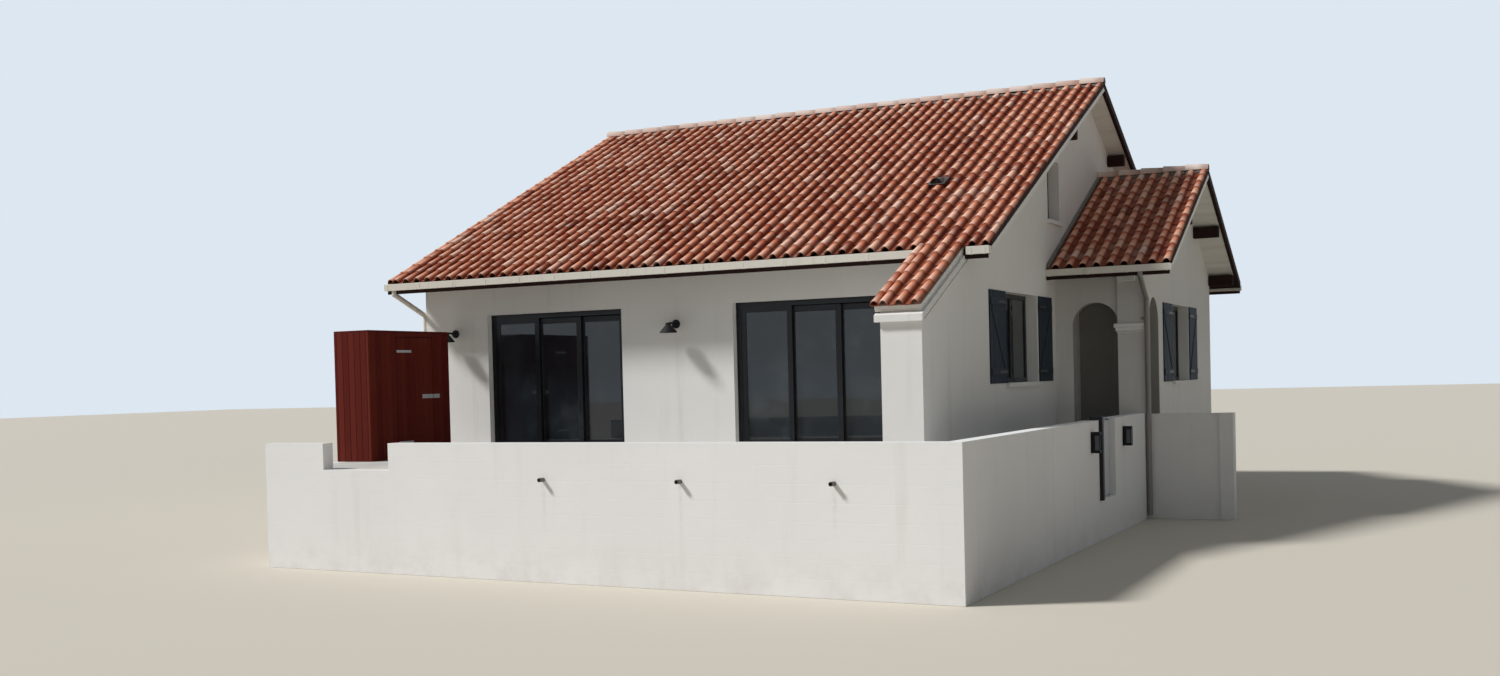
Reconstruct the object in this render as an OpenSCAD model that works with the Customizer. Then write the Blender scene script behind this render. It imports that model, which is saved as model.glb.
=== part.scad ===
// Single-storey beach house with a clay tile roof, an arched porch wing and a walled terrace.
// X runs along the ridge, Y from the terrace to the back, Z up from the lowest ground.
// Inside the modules x = 0 is the outer face of the right gable wall and y = 0 that of the
// front wall; placed() moves every piece so that the origin is under the middle of the whole.

/* [House walls] */
// Width of the house between the outer faces of the gable walls
house_w = 8900; // [8600:50:9400]
// Depth of the house between the outer faces of the front and rear walls
house_d = 13920; // [13000:20:15000]
// Thickness of the outer walls
wall_t = 300; // [240:10:340]
// Height of the ground floor above the lowest ground
floor_z = 1300; // [1250:10:1400]
// Height of the terrace doors
door_h = 2130; // [2050:10:2150]
// Thickness of the floor slabs
slab_t = 200; // [150:10:220]
// Height of the loft floor above the ground floor
loft_h = 2550; // [2520:10:2600]

/* [Main roof] */
// Height of the tile edge at the eaves
eave_z = 4050; // [4000:10:4300]
// Pitch of the main roof in degrees
pitch = 23.2; // [20:0.2:28]
// Overhang of the tiles past the front and rear walls
eave_over = 550; // [450:10:700]
// Overhang of the roof past the gable walls
verge_over = 360; // [300:10:450]
// Thickness of the rafters and boarding
deck_t = 100; // [80:5:120]
// Thickness of the tile layer
tile_t = 80; // [60:5:100]
// Distance that the tiles reach past the boarding at the eaves
tile_lip = 60; // [40:5:80]
// Radius of the ridge tiles
ridge_r = 115; // [90:5:130]
// Width of one column of roof tiles
tile_w = 200; // [180:5:240]
// Width of the flat pan beside each barrel
pan_w = 84; // [60:2:100]
// Thickness that stays under the pans
pan_rest = 20; // [15:1:30]
// Width of the flat crest of a barrel
crest_w = 40; // [20:2:60]
// Width of the purlins
purlin_w = 120; // [80:5:140]
// Height of the purlins
purlin_h = 200; // [160:5:220]
// Distance of the main roof's purlins from its ridge
purlin_step = 1950; // [1700:10:2200]
// Distance of the wing roof's purlins from its ridge
wing_purlin_step = 1560; // [1400:10:1700]

/* [Buttress wall] */
// Width of the wall that carries the low strip of roof
buttress_w = 520; // [400:10:560]
// Length of that wall in front of the house
buttress_len = 2350; // [1800:10:2500]
// Width of the low strip of roof
strip_w = 600; // [560:10:700]
// Height of the moulding at the foot of the strip
mould_h = 110; // [80:5:140]
// Distance that the mouldings stand proud of the wall
mould_out = 60; // [40:5:80]

/* [Terrace doors] */
// Width of a terrace door opening
bay_w = 2380; // [2200:10:2500]
// Distance of the right door opening from the right gable
bay_right_in = 1160; // [1000:10:1300]
// Distance of the left door opening from the left gable
bay_left_in = 1160; // [1000:10:1300]
// Width of the frame and leaf profiles as seen from the front
profile_w = 75; // [60:1:85]
// Depth of a sliding leaf
leaf_t = 46; // [40:1:50]
// Gap between two leaves and between leaf and frame
leaf_gap = 8; // [6:1:10]
// Distance from the outer wall face to the door frame
bay_reveal = 120; // [100:5:125]
// Thickness of the panes
pane_t = 24; // [20:1:28]

/* [Windows and shutters] */
// Width of the window opening in the main gable
gable_win_w = 1830; // [1600:10:1850]
// Distance of that opening from the front wall
gable_win_y = 1550; // [1400:10:1600]
// Height of the window openings
win_h = 1300; // [1200:10:1400]
// Height of the sill of the gable window above the floor
gable_sill = 870; // [800:10:900]
// Width of the window opening in the wing
wing_win_w = 1710; // [1600:10:1720]
// Distance of the wing window from the front of the wing
wing_win_y = 2550; // [2500:10:2650]
// Height of the sill of the wing window above the floor
wing_sill = 800; // [760:10:860]
// Width of one shutter leaf
shutter_w = 850; // [750:10:860]
// Thickness of a shutter leaf
shutter_t = 32; // [26:1:40]
// Width of the loft window
loft_win_w = 800; // [600:10:900]
// Height of the loft window
loft_win_h = 950; // [700:10:1000]
// Distance of the loft window from the front wall
loft_win_y = 4200; // [4000:10:4300]
// Height of the loft window sill above the loft floor
loft_sill = 850; // [800:10:900]
// Width of the window frame profiles
sash_w = 60; // [50:1:80]
// Depth of the window frames
sash_t = 60; // [50:1:70]
// Distance from the outer wall face to the window frame
win_reveal = 170; // [140:5:180]
// Distance that the window sills stand proud of the wall
sill_out = 50; // [30:5:60]
// Height of the window sills
sill_h = 60; // [50:5:80]

/* [Wing] */
// Distance that the wing stands out from the gable wall
wing_w = 1360; // [1300:10:1500]
// Distance of the wing's front wall from the house front
wing_y = 4550; // [4500:10:4700]
// Depth of the wing
wing_d = 6900; // [6700:20:7200]
// Thickness of the wing's walls
wing_wall_t = 250; // [200:10:280]
// Height of the tile edge at the wing's eaves
wing_eave_z = 3980; // [3940:10:4000]
// Pitch of the wing roof in degrees
wing_pitch = 24; // [22:0.5:24.5]
// Overhang of the wing's tiles past its front wall
wing_front_over = 550; // [450:10:600]
// Overhang of the wing roof past its rear wall
wing_back_over = 650; // [550:10:700]
// Overhang of the wing roof past its side wall
wing_verge = 500; // [400:10:600]

/* [Porch] */
// Width of the front arch
arch_w = 700; // [600:10:760]
// Width of the corner pier on its front face
pier_w = 400; // [360:10:440]
// Width of the side arch
side_arch_w = 850; // [800:10:900]
// Height of the springing line of the arches above the floor
spring_h = 1730; // [1650:10:1760]
// Depth of the porch between its front and back walls
porch_d = 1500; // [1450:10:1600]
// Thickness of the porch's back wall
porch_wall_t = 200; // [150:10:220]
// Height of the capital moulding on the corner pier
cap_h = 110; // [80:5:130]
// Distance that the capital stands proud of the pier
cap_out = 50; // [35:5:70]
// Width of the corbel on the pier under the eaves
corbel_w = 270; // [200:10:300]
// Height of that corbel
corbel_h = 165; // [120:5:200]
// Distance from the eaves down to the corbel
corbel_drop = 55; // [30:5:80]
// Distance that the corbel stands proud of the pier
corbel_out = 25; // [15:5:40]
// Distance that the pier stands proud of the wall over the front arch
pier_out = 60; // [40:5:80]
// Width of the entrance door opening
entry_w = 900; // [850:10:950]
// Distance of the entrance door from the front of the wing
entry_y = 500; // [450:10:520]
// Thickness of the entrance door
entry_t = 60; // [45:5:70]
// Distance from the inner wall face to the entrance door
entry_in = 60; // [40:5:90]

/* [Terrace] */
// Distance of the terrace's right front corner from the house front
terrace_front = 5430; // [5000:10:5800]
// Setback of the terrace's left front corner from the right one
terrace_skew = 780; // [600:10:900]
// Distance of the left front corner inside the left gable
terrace_left_in = 630; // [500:10:700]
// Height of the parapet top above the terrace floor
parapet_h = 340; // [300:10:400]
// Thickness of the terrace walls
terrace_wall_t = 200; // [180:10:220]
// Width of the gap in the front parapet
gap_w = 1100; // [1000:10:1200]
// Distance of the gap from the left front corner
gap_x = 1030; // [900:10:1150]

/* [Gate and steps] */
// Width of the gate opening
gate_w = 1100; // [1000:10:1150]
// Distance of the gate opening behind the house front
gate_y = 1050; // [950:10:1100]
// Height of the gate's threshold above the lowest ground
gate_sill = 550; // [500:10:600]
// Thickness of the gate leaf
gate_t = 50; // [40:1:60]
// Gap all round the gate leaf
gate_gap = 15; // [12:1:20]
// Width of the steel post on the latch side
gate_post = 90; // [50:1:100]
// Height of the post above the parapet
gate_post_up = 50; // [20:5:60]
// Distance that the post stands proud of the wall
gate_post_out = 50; // [20:5:60]
// Radius of the hinge pins
hinge_r = 9; // [7:0.5:10]
// Depth of the landing behind the gate opening
landing_over = 305; // [250:5:400]
// Number of risers from the gate up to the porch
risers = 4; // [4:1:5]
// Depth of a tread
tread = 280; // [260:10:300]

/* [Garden wall] */
// Length of the garden wall stub
stub_w = 1070; // [900:10:1200]
// Width of its end pillar
stub_pillar = 200; // [160:10:220]
// Height of the stub above the terrace floor
stub_h = 320; // [280:10:360]

/* [Timber store] */
// Width of the store's narrow front
store_w = 610; // [560:10:630]
// Length of the store
store_d = 1980; // [1800:10:2050]
// Height of the store above the terrace floor
store_h = 1860; // [1800:10:1950]
// Distance of its front from the house front
store_y = 2900; // [2850:10:3000]
// Distance of its left side inside the left gable
store_in = 430; // [420:5:450]
// Thickness of the store's boards
board_t = 30; // [25:1:35]
// Width of the store's doorway
store_door_w = 900; // [800:10:950]
// Distance of the doorway from the store's front
store_door_in = 650; // [550:10:700]
// Height of the board above the doorway
store_head = 90; // [60:5:120]
// Height of the door's handle plate
handle_h = 60; // [40:5:80]
// Width of the handle plate
handle_w = 120; // [90:5:160]
// Thickness of the handle plate
handle_t = 20; // [12:1:25]
// Distance of the handle plate from the doorway's latch side
handle_in = 60; // [40:5:90]

/* [Rainwater] */
// Width of the gutters
gutter_w = 120; // [100:5:130]
// Height of the gutters
gutter_h = 100; // [90:5:120]
// Sheet thickness of the gutters
gutter_t = 6; // [4:1:8]
// Radius of the downpipes
pipe_r = 40; // [35:1:50]
// Distance that the elbows stand proud of the pipes
elbow_out = 3; // [2:0.5:5]
// Gap between a downpipe and the wall behind it
pipe_gap = 10; // [6:1:20]
// Length of a gutter's outlet before the pipe turns back to the wall
outlet_h = 60; // [40:5:90]
// Height over which the pipe slopes back to the wall
slope_h = 330; // [250:10:400]
// Distance of the house's downpipe from the left end of the gutter
outlet_in = 150; // [110:5:250]
// Height of a downpipe's foot above the lowest ground
pipe_foot = 60; // [40:5:100]
// Height of the clips that hold the downpipes
clip_h = 40; // [25:5:50]
// Height of the lower clips above the lowest ground
clip_low = 1000; // [800:10:1300]
// Height of the upper clips above the lowest ground
clip_high = 3080; // [2900:10:3200]
// Radius of the drain spouts in the terrace wall
spout_r = 25; // [20:1:30]
// Length of a drain spout outside the wall
spout_out = 90; // [60:5:100]
// Depth of the spouts under the terrace floor
spout_drop = 90; // [60:5:120]
// Number of drain spouts
spouts = 3; // [1:1:4]
// Distance of the first spout from the terrace's right corner
spout_in = 1400; // [1200:10:1600]
// Distance between two spouts
spout_step = 1860; // [1700:10:1950]

/* [Wall lights] */
// Height of the barn lamps above the terrace floor
lamp_up = 1860; // [1750:10:1950]
// Radius of a barn lamp's shade
lamp_r = 130; // [90:5:150]
// Thickness of the shade at its rim
shade_t = 8; // [4:1:12]
// Distance of the left barn lamp from the left door opening
lamp_side = 600; // [450:10:700]
// Width of the box lights beside the gate
box_light_w = 120; // [90:5:150]
// Height of the box lights
box_light_h = 280; // [200:10:320]
// Distance that the box lights reach below the terrace floor
box_light_drop = 80; // [40:5:120]
// Distance of the front box light from the gate opening
box_light_front = 400; // [300:10:600]
// Distance of the back box light from the gate opening
box_light_back = 530; // [400:10:700]

/* [Hidden] */
$fn = 48;

// Cut overlap so that a cutter always passes through both faces
through = 20;
// Angle at which the shoulder lies on the half circle of a barrel
shoulder = 45;
// Long cutter used to trim a form to one side of a plane
far_cut = 20000;
// Gap between a piece and its seat where the two move or meet on a slope
seat_gap = 0.3;
// Width of the rails that the sliding leaves run on
rail_w = 10;

// Heights
parapet_z = floor_z + parapet_h;
door_z = floor_z + door_h;
loft_z = floor_z + loft_h;
roof_t = (deck_t + tile_t) / cos(pitch);
tile_drop = tile_t / cos(pitch);
ridge_y = house_d / 2;
ridge_z = eave_z + (ridge_y + eave_over) * tan(pitch);
wing_roof_t = (deck_t + tile_t) / cos(wing_pitch);
wing_tile_drop = tile_t / cos(wing_pitch);
wing_back_y = wing_y + wing_d;
wing_low_y = wing_y - wing_front_over;
wing_high_y = wing_back_y + wing_back_over;
wing_ridge_y = (wing_low_y + wing_high_y) / 2;
wing_ridge_z = wing_eave_z + (wing_ridge_y - wing_low_y) * tan(wing_pitch);

// Height of the tile surface and of the boarding's underside at a depth y
function roof_z(y) = ridge_z - abs(y - ridge_y) * tan(pitch);
function roof_under(y) = roof_z(y) - roof_t - seat_gap;
function wing_roof_z(y) = wing_ridge_z - abs(y - wing_ridge_y) * tan(wing_pitch);
function wing_under(y) = wing_roof_z(y) - wing_roof_t - seat_gap;

// Plan of the terrace
terrace_right = wing_w;
terrace_left = -house_w + terrace_left_in;
corner_right = [terrace_right, -terrace_front];
corner_left = [terrace_left, -terrace_front + terrace_skew];
function front_line(x) = corner_right.y
    + (corner_left.y - corner_right.y) * (x - corner_right.x) / (corner_left.x - corner_right.x);
front_slope = (corner_left.y - corner_right.y) / (corner_left.x - corner_right.x);
front_back_shift = terrace_wall_t * sqrt(1 + front_slope * front_slope);
left_slope = (-house_w - corner_left.x) / (0 - corner_left.y);
left_shift = terrace_wall_t * sqrt(1 + left_slope * left_slope);

// Point behind the front wall by a gap, on a line that runs beside the left wall's outer face
function left_corner(shift, gap) = let (
    back = front_back_shift + gap,
    u = (left_slope * back + shift) / (1 - left_slope * front_slope)
) corner_left + [u, front_slope * u + back];
outer_corner = left_corner(0, 0);

// Terrace doors
right_bay_x = -bay_right_in - bay_w;
left_bay_x = -house_w + bay_left_in;
frame_t = 3 * leaf_t + 4 * leaf_gap;
clear_h = door_h - 2 * profile_w;
// Three leaves that overlap by one profile fill the frame
leaf_w = bay_w / 3;
leaf_step = leaf_w - profile_w;
// Lower left front corner of the leaf on a track, counted from the outer one
function leaf_corner(x, track) = [x + profile_w + track * leaf_step,
    bay_reveal + leaf_gap + track * (leaf_t + leaf_gap), floor_z + profile_w + leaf_gap];
leaf_size = [leaf_w - leaf_gap, leaf_t, clear_h - 2 * leaf_gap];
// The fixed leaf fills its track from sill to head
fixed_drop = [0, 0, leaf_gap];
fixed_size = leaf_size + 2 * fixed_drop;

// Porch
arch_x = wing_w - pier_w - arch_w;
spring_z = floor_z + spring_h;
side_arch_y = wing_y + pier_w;
porch_back_y = wing_y + wing_wall_t + porch_d;

// Opening between the house and the room in the wing
wing_room_y = porch_back_y + porch_wall_t + wall_t;
wing_room_w = bay_w;

// Gate and steps
gate_low_y = gate_y;
gate_high_y = gate_y + gate_w;
riser = (floor_z - gate_sill) / risers;
landing_back = gate_high_y + landing_over;
gate_wall_x = terrace_right - terrace_wall_t;

// Whole size
left_end = -house_w - verge_over;
right_end = terrace_right + stub_w + stub_pillar;
front_end = -terrace_front;
back_end = house_d + eave_over + gutter_w - tile_lip;
origin_x = (left_end + right_end) / 2;
origin_y = (front_end + back_end) / 2;

module placed() {
    translate([-origin_x, -origin_y, 0]) children();
}

// A profile drawn in the depth-height plane and extruded along the ridge from x to x + w
module along_ridge(x, w) {
    translate([x, 0, 0]) rotate([90, 0, 90]) linear_extrude(w) children();
}

// A box from one corner to the other
module block(low, high) {
    translate(low) cube(high - low);
}

// Ground floor slab of the house
module ground_floor() {
    color("lightgray") placed() block(
        [-house_w + wall_t, wall_t, floor_z - slab_t],
        [-wall_t, house_d - wall_t, floor_z]);
}

// Floor of the loft
module loft_floor() {
    color("lightgray") placed() block(
        [-house_w + wall_t, wall_t, loft_z - slab_t],
        [-wall_t, house_d - wall_t, loft_z]);
}

// Front wall below the terrace doors
module front_wall_base() {
    color("whitesmoke") placed() block(
        [-house_w + wall_t, 0, 0], [-wall_t, wall_t, floor_z]);
}

// One pier of the front wall between the floor and the door heads
module front_pier(x_low, x_high) {
    color("whitesmoke") placed() block([x_low, 0, floor_z], [x_high, wall_t, door_z]);
}

module front_wall_left() {
    front_pier(-house_w + wall_t, left_bay_x);
}

module front_wall_middle() {
    front_pier(left_bay_x + bay_w, right_bay_x);
}

module front_wall_right() {
    front_pier(right_bay_x + bay_w, -wall_t);
}

// Wall above the doors, with its top cut to the roof slope
module front_lintel() {
    color("whitesmoke") placed() along_ridge(-house_w + wall_t, house_w - 2 * wall_t)
        polygon([[0, door_z], [wall_t, door_z], [wall_t, roof_under(wall_t)], [0, roof_under(0)]]);
}

// Rear wall with its top cut to the roof slope
module rear_wall() {
    color("whitesmoke") placed() along_ridge(-house_w + wall_t, house_w - 2 * wall_t)
        polygon([[house_d - wall_t, 0], [house_d, 0], [house_d, roof_under(house_d)],
            [house_d - wall_t, roof_under(house_d - wall_t)]]);
}

// A gable wall up to the underside of the roof
module gable(x) {
    along_ridge(x, wall_t) polygon([[0, 0], [house_d, 0], [house_d, roof_under(house_d)],
        [ridge_y, roof_under(ridge_y)], [0, roof_under(0)]]);
}

module left_gable_wall() {
    color("whitesmoke") placed() gable(-house_w);
}

// A window sill that stands proud of a wall whose outer face is at x
module sill(x, y, w, z) {
    block([x, y - sill_out, z - sill_h], [x + sill_out, y + w + sill_out, z]);
}

module right_gable_wall() {
    color("whitesmoke") placed() {
        difference() {
            gable(-wall_t);
            block([-wall_t - through, gable_win_y, floor_z + gable_sill],
                [through, gable_win_y + gable_win_w, floor_z + gable_sill + win_h]);
            block([-wall_t - through, loft_win_y, loft_z + loft_sill],
                [through, loft_win_y + loft_win_w, loft_z + loft_sill + loft_win_h]);
            block([-wall_t - through, wing_y + entry_y, floor_z],
                [through, wing_y + entry_y + entry_w, door_z]);
            block([-wall_t - through, wing_room_y, floor_z],
                [through, wing_room_y + wing_room_w, door_z]);
        }
        sill(0, gable_win_y, gable_win_w, floor_z + gable_sill);
        sill(0, loft_win_y, loft_win_w, loft_z + loft_sill);
    }
}

// Wall in front of the house under the low strip of roof, with its cornice
module buttress_wall() {
    foot_z = roof_under(-buttress_len);
    mould_y = -buttress_len - mould_out;
    color("whitesmoke") placed() {
        along_ridge(-buttress_w, buttress_w) polygon([[-buttress_len, 0], [0, 0],
            [0, roof_under(0)], [-buttress_len, foot_z]]);
        along_ridge(-buttress_w - mould_out, buttress_w + 1.5 * mould_out) polygon([
            [mould_y, foot_z - mould_h], [-buttress_len, foot_z - mould_h],
            [-buttress_len, foot_z], [mould_y, roof_under(mould_y)]]);
        difference() {
            along_ridge(0, mould_out / 2) polygon([
                [-buttress_len, foot_z - mould_h], [0, roof_under(0) - mould_h],
                [0, roof_under(0)], [-buttress_len, foot_z]]);
            along_ridge(mould_out / 4, mould_out) polygon([
                [-buttress_len - through, foot_z - mould_h - through * tan(pitch)],
                [through, roof_under(0) - mould_h + through * tan(pitch)],
                [through, roof_under(0) - mould_h / 2 + through * tan(pitch)],
                [-buttress_len - through, foot_z - mould_h / 2 - through * tan(pitch)]]);
        }
    }
}

// Section of one roof slope from its low edge at y to the ridge
module slope_section(y, top_y, top_z, angle, thick, tile_thick) {
    low_z = top_z - (top_y - y) * tan(angle);
    lip_z = low_z + tile_lip * tan(angle);
    polygon([[y, low_z], [top_y, top_z], [top_y, top_z - thick],
        [y + tile_lip, lip_z - thick], [y + tile_lip, lip_z - tile_thick],
        [y, low_z - tile_thick]]);
}

// Half the width of a barrel at its foot and at its shoulder, and the depth of the shoulder
barrel_half = (tile_w - pan_w) / 2;
shoulder_half = barrel_half * cos(shoulder);
shoulder_drop = (tile_t - pan_rest) * (1 - sin(shoulder));

// Section of the channel between two barrels, the first of which ends at 0; depth runs up the page
module pan_section() {
    polygon([[crest_w / 2 - barrel_half, -through], [crest_w / 2 - barrel_half, 0],
        [shoulder_half - barrel_half, shoulder_drop], [0, tile_t - pan_rest],
        [pan_w, tile_t - pan_rest], [pan_w + barrel_half - shoulder_half, shoulder_drop],
        [pan_w + barrel_half - crest_w / 2, 0], [pan_w + barrel_half - crest_w / 2, -through]]);
}

// Channels up a slope, from below its low edge at [x_low, y_low] to y_high, in columns from x_low
// to x_high. The channel at the verge is left out, so that a barrel closes the roof there.
module pans(x_low, x_high, y_low, y_high, top_y, top_z, angle, verge_low, verge_high, side) {
    count = round((x_high - x_low) / tile_w);
    step = (x_high - x_low) / count;
    start_y = y_low - tile_t;
    translate([x_low, start_y, top_z - (top_y - start_y) * tan(angle)]) rotate([angle - 90, 0, 0])
        linear_extrude((y_high - start_y) / cos(angle))
            for (i = [verge_low : count - 1 - verge_high])
                translate([(side > 0 ? i : i + 1) * step, 0]) scale([side * step / tile_w, 1])
                    pan_section();
}

// Channels of a whole main slope: the wide part, the part over the strip and the verge
module main_pans(side) {
    high_y = ridge_y - ridge_r;
    pans(left_end, -strip_w, -eave_over, high_y, ridge_y, ridge_z, pitch, side > 0 ? 1 : 0, 0, side);
    pans(-strip_w, 0, -eave_over, high_y, ridge_y, ridge_z, pitch, 0, 0, side);
    pans(0, verge_over, -eave_over, high_y, ridge_y, ridge_z, pitch, 0, side > 0 ? 0 : 1, side);
}

// Front slope with the low strip that runs on over the buttress wall
module main_roof_front() {
    strip_y = -buttress_len - 2 * mould_out + tile_lip / 2;
    color("sandybrown") placed() difference() {
        union() {
            along_ridge(left_end, house_w + 2 * verge_over)
                slope_section(-eave_over, ridge_y, ridge_z, pitch, roof_t, tile_drop);
            along_ridge(-strip_w, strip_w)
                slope_section(strip_y, 0, roof_z(0), pitch, roof_t, tile_drop);
        }
        main_pans(1);
        pans(-strip_w, 0, strip_y, -eave_over, ridge_y, ridge_z, pitch, 1, 0, 1);
    }
}

module main_roof_back() {
    color("sandybrown") placed() translate([0, 2 * ridge_y, 0]) mirror([0, 1, 0]) difference() {
        along_ridge(left_end, house_w + 2 * verge_over)
            slope_section(-eave_over, ridge_y, ridge_z, pitch, roof_t, tile_drop);
        main_pans(-1);
    }
}

// Half-round ridge tiles on both roofs
module ridge_cap(x, w, y, z, angle) {
    along_ridge(x, w) difference() {
        translate([y, z - ridge_r / 2]) circle(ridge_r);
        polygon([[y - far_cut, z - far_cut * tan(angle)], [y, z], [y + far_cut, z - far_cut * tan(angle)],
            [y + far_cut, -far_cut], [y - far_cut, -far_cut]]);
    }
}

module ridge_tiles() {
    color("chocolate") placed() {
        ridge_cap(left_end, house_w + 2 * verge_over, ridge_y, ridge_z, pitch);
        ridge_cap(0, wing_w + wing_verge, wing_ridge_y, wing_ridge_z, wing_pitch);
    }
}

// Section of a gutter whose back is at y and whose rim is at z
module gutter_section(y, z, side) {
    difference() {
        translate([y, z - gutter_h]) scale([side, 1]) square([gutter_w, gutter_h]);
        translate([y, z - gutter_h]) scale([side, 1]) translate([gutter_t, gutter_t])
            square([gutter_w - 2 * gutter_t, gutter_h]);
    }
}

// A gutter closed at both ends
module gutter(x_low, x_high, y, z, side) {
    along_ridge(x_low, x_high - x_low) gutter_section(y, z, side);
    for (x = [x_low, x_high - gutter_t])
        along_ridge(x, gutter_t) translate([y, z - gutter_h]) scale([side, 1])
            square([gutter_w, gutter_h]);
}

main_rim_z = eave_z - tile_drop;
wing_rim_z = wing_eave_z - wing_tile_drop;
deck_edge_y = -eave_over + tile_lip;
wing_deck_y = wing_low_y + tile_lip;

module main_gutters() {
    color("ivory") placed() {
        gutter(left_end, -strip_w, deck_edge_y, main_rim_z, -1);
        gutter(mould_out, verge_over, deck_edge_y, main_rim_z, -1);
    }
}

module rear_gutter() {
    color("ivory") placed()
        gutter(left_end, -left_end - house_w, house_d - deck_edge_y, main_rim_z, 1);
}

module wing_gutters() {
    color("ivory") placed() {
        gutter(0, wing_w + wing_verge, wing_deck_y, wing_rim_z, -1);
        gutter(0, wing_w + wing_verge, wing_high_y - tile_lip, wing_rim_z, 1);
    }
}

// A round pipe between two points
module pipe_run(from, to) {
    run = to - from;
    length = norm(run);
    translate(from) rotate([0, acos(run.z / length), atan2(run.y, run.x)])
        cylinder(h = length, r = pipe_r, $fn = 24);
}

// A downpipe from a gutter's outlet back to the wall and down to its foot
module downpipe(outlet, foot) {
    bend_high = outlet - [0, 0, outlet_h];
    bend_low = [foot.x, foot.y, bend_high.z - slope_h];
    pipe_run([foot.x, foot.y, pipe_foot], bend_low);
    pipe_run(bend_low, bend_high);
    pipe_run(bend_high, outlet);
    for (bend = [bend_high, bend_low])
        translate(bend) sphere(r = pipe_r + elbow_out, $fn = 24);
}

module downpipes() {
    axis_gap = pipe_gap + pipe_r;
    house_x = -house_w - axis_gap;
    wing_x = wing_w + axis_gap;
    wing_foot_y = wing_y - axis_gap;
    color("ivory") placed() {
        downpipe([left_end + outlet_in, deck_edge_y - gutter_w / 2, main_rim_z - gutter_h],
            [house_x, axis_gap]);
        downpipe([wing_x, wing_deck_y - gutter_w / 2, wing_rim_z - gutter_h],
            [wing_x, wing_foot_y]);
        for (z = [clip_low, clip_high])
            block([house_x, axis_gap - clip_h / 2, z], [-house_w, axis_gap + clip_h / 2, z + clip_h]);
        block([wing_w + pipe_gap, wing_foot_y, clip_low], [wing_x, wing_y, clip_low + clip_h]);
        block([wing_w - clip_h, wing_foot_y, clip_high], [wing_x, wing_y, clip_high + clip_h]);
    }
}

// Purlin ends that carry the verges, with their tops at the underside of the boarding
module purlins() {
    color("maroon") placed() {
        for (y = [ridge_y - purlin_step, ridge_y + purlin_step, house_d - purlin_w])
            for (x = [left_end + tile_lip, 0])
                purlin_end(x, verge_over - tile_lip, y, roof_under(y), pitch);
        for (y = [wing_ridge_y - wing_purlin_step, wing_ridge_y + wing_purlin_step, wing_back_y - purlin_w / 2])
            purlin_end(wing_w, wing_verge - tile_lip, y, wing_under(y), wing_pitch);
    }
}

module purlin_end(x, out, y, top, angle) {
    drop = purlin_w / 2 * tan(angle);
    block([x, y - purlin_w / 2, top - drop - purlin_h], [x + out, y + purlin_w / 2, top - drop]);
}

// Floor of the porch and of the room in the wing
module wing_floor() {
    color("lightgray") placed() block([0, wing_y + wing_wall_t, floor_z - slab_t],
        [wing_w - wing_wall_t, wing_back_y - wing_wall_t, floor_z]);
}

// A round-headed opening drawn upright, its foot at the origin
module arch_shape(w, spring) {
    translate([0, -through]) square([w, spring + through]);
    translate([w / 2, spring]) circle(w / 2);
}

// Wall from y_low to y_high under the wing's front slope
module wing_front_part(x, w, y_low, y_high) {
    along_ridge(x, w) polygon([[y_low, 0], [y_high, 0], [y_high, wing_under(y_high)],
        [y_low, wing_under(y_low)]]);
}

// Wall with the front arch, and the pier that stands proud of it with its capital and corbel
module wing_front_wall() {
    back_y = wing_y + wing_wall_t;
    pier_x = wing_w - pier_w;
    corbel_top = wing_under(wing_y) - corbel_drop;
    color("whitesmoke") placed() {
        difference() {
            wing_front_part(0, wing_w, wing_y + pier_out, back_y);
            translate([arch_x, wing_y - through, floor_z]) rotate([90, 0, 0]) mirror([0, 0, 1])
                linear_extrude(wing_wall_t + 2 * through) arch_shape(arch_w, spring_h);
        }
        wing_front_part(pier_x, pier_w, wing_y, back_y);
        for (step = [1, 2])
            block([pier_x - cap_out / step, wing_y - cap_out / step, spring_z - cap_h * step / 2],
                [wing_w, back_y, spring_z]);
        block([pier_x, wing_y - corbel_out, corbel_top - corbel_h],
            [pier_x + corbel_w, wing_y, corbel_top]);
    }
}

module wing_side_wall() {
    x = wing_w - wing_wall_t;
    y_low = wing_y + wing_wall_t;
    color("whitesmoke") placed() {
        difference() {
            along_ridge(x, wing_wall_t) polygon([[y_low, 0], [wing_back_y, 0],
                [wing_back_y, wing_under(wing_back_y)], [wing_ridge_y, wing_under(wing_ridge_y)],
                [y_low, wing_under(y_low)]]);
            translate([x - through, side_arch_y, floor_z]) rotate([90, 0, 90])
                linear_extrude(wing_wall_t + 2 * through) arch_shape(side_arch_w, spring_h);
            block([x - through, wing_y + wing_win_y, floor_z + wing_sill],
                [wing_w + through, wing_y + wing_win_y + wing_win_w, floor_z + wing_sill + win_h]);
        }
        sill(wing_w, wing_y + wing_win_y, wing_win_w, floor_z + wing_sill);
    }
}

module wing_rear_wall() {
    color("whitesmoke") placed() along_ridge(0, wing_w - wing_wall_t) polygon([
        [wing_back_y - wing_wall_t, 0], [wing_back_y, 0],
        [wing_back_y, wing_under(wing_back_y)],
        [wing_back_y - wing_wall_t, wing_under(wing_back_y - wing_wall_t)]]);
}

module porch_back_wall() {
    color("whitesmoke") placed() along_ridge(0, wing_w - wing_wall_t) polygon([
        [porch_back_y, floor_z], [porch_back_y + porch_wall_t, floor_z],
        [porch_back_y + porch_wall_t, wing_under(porch_back_y + porch_wall_t)],
        [porch_back_y, wing_under(porch_back_y)]]);
}

module wing_slope(side) {
    difference() {
        along_ridge(0, wing_w + wing_verge) slope_section(wing_low_y, wing_ridge_y, wing_ridge_z,
            wing_pitch, wing_roof_t, wing_tile_drop);
        pans(0, wing_w + wing_verge, wing_low_y, wing_ridge_y - ridge_r, wing_ridge_y, wing_ridge_z,
            wing_pitch, side > 0 ? 1 : 0, side > 0 ? 0 : 1, side);
    }
}

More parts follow.
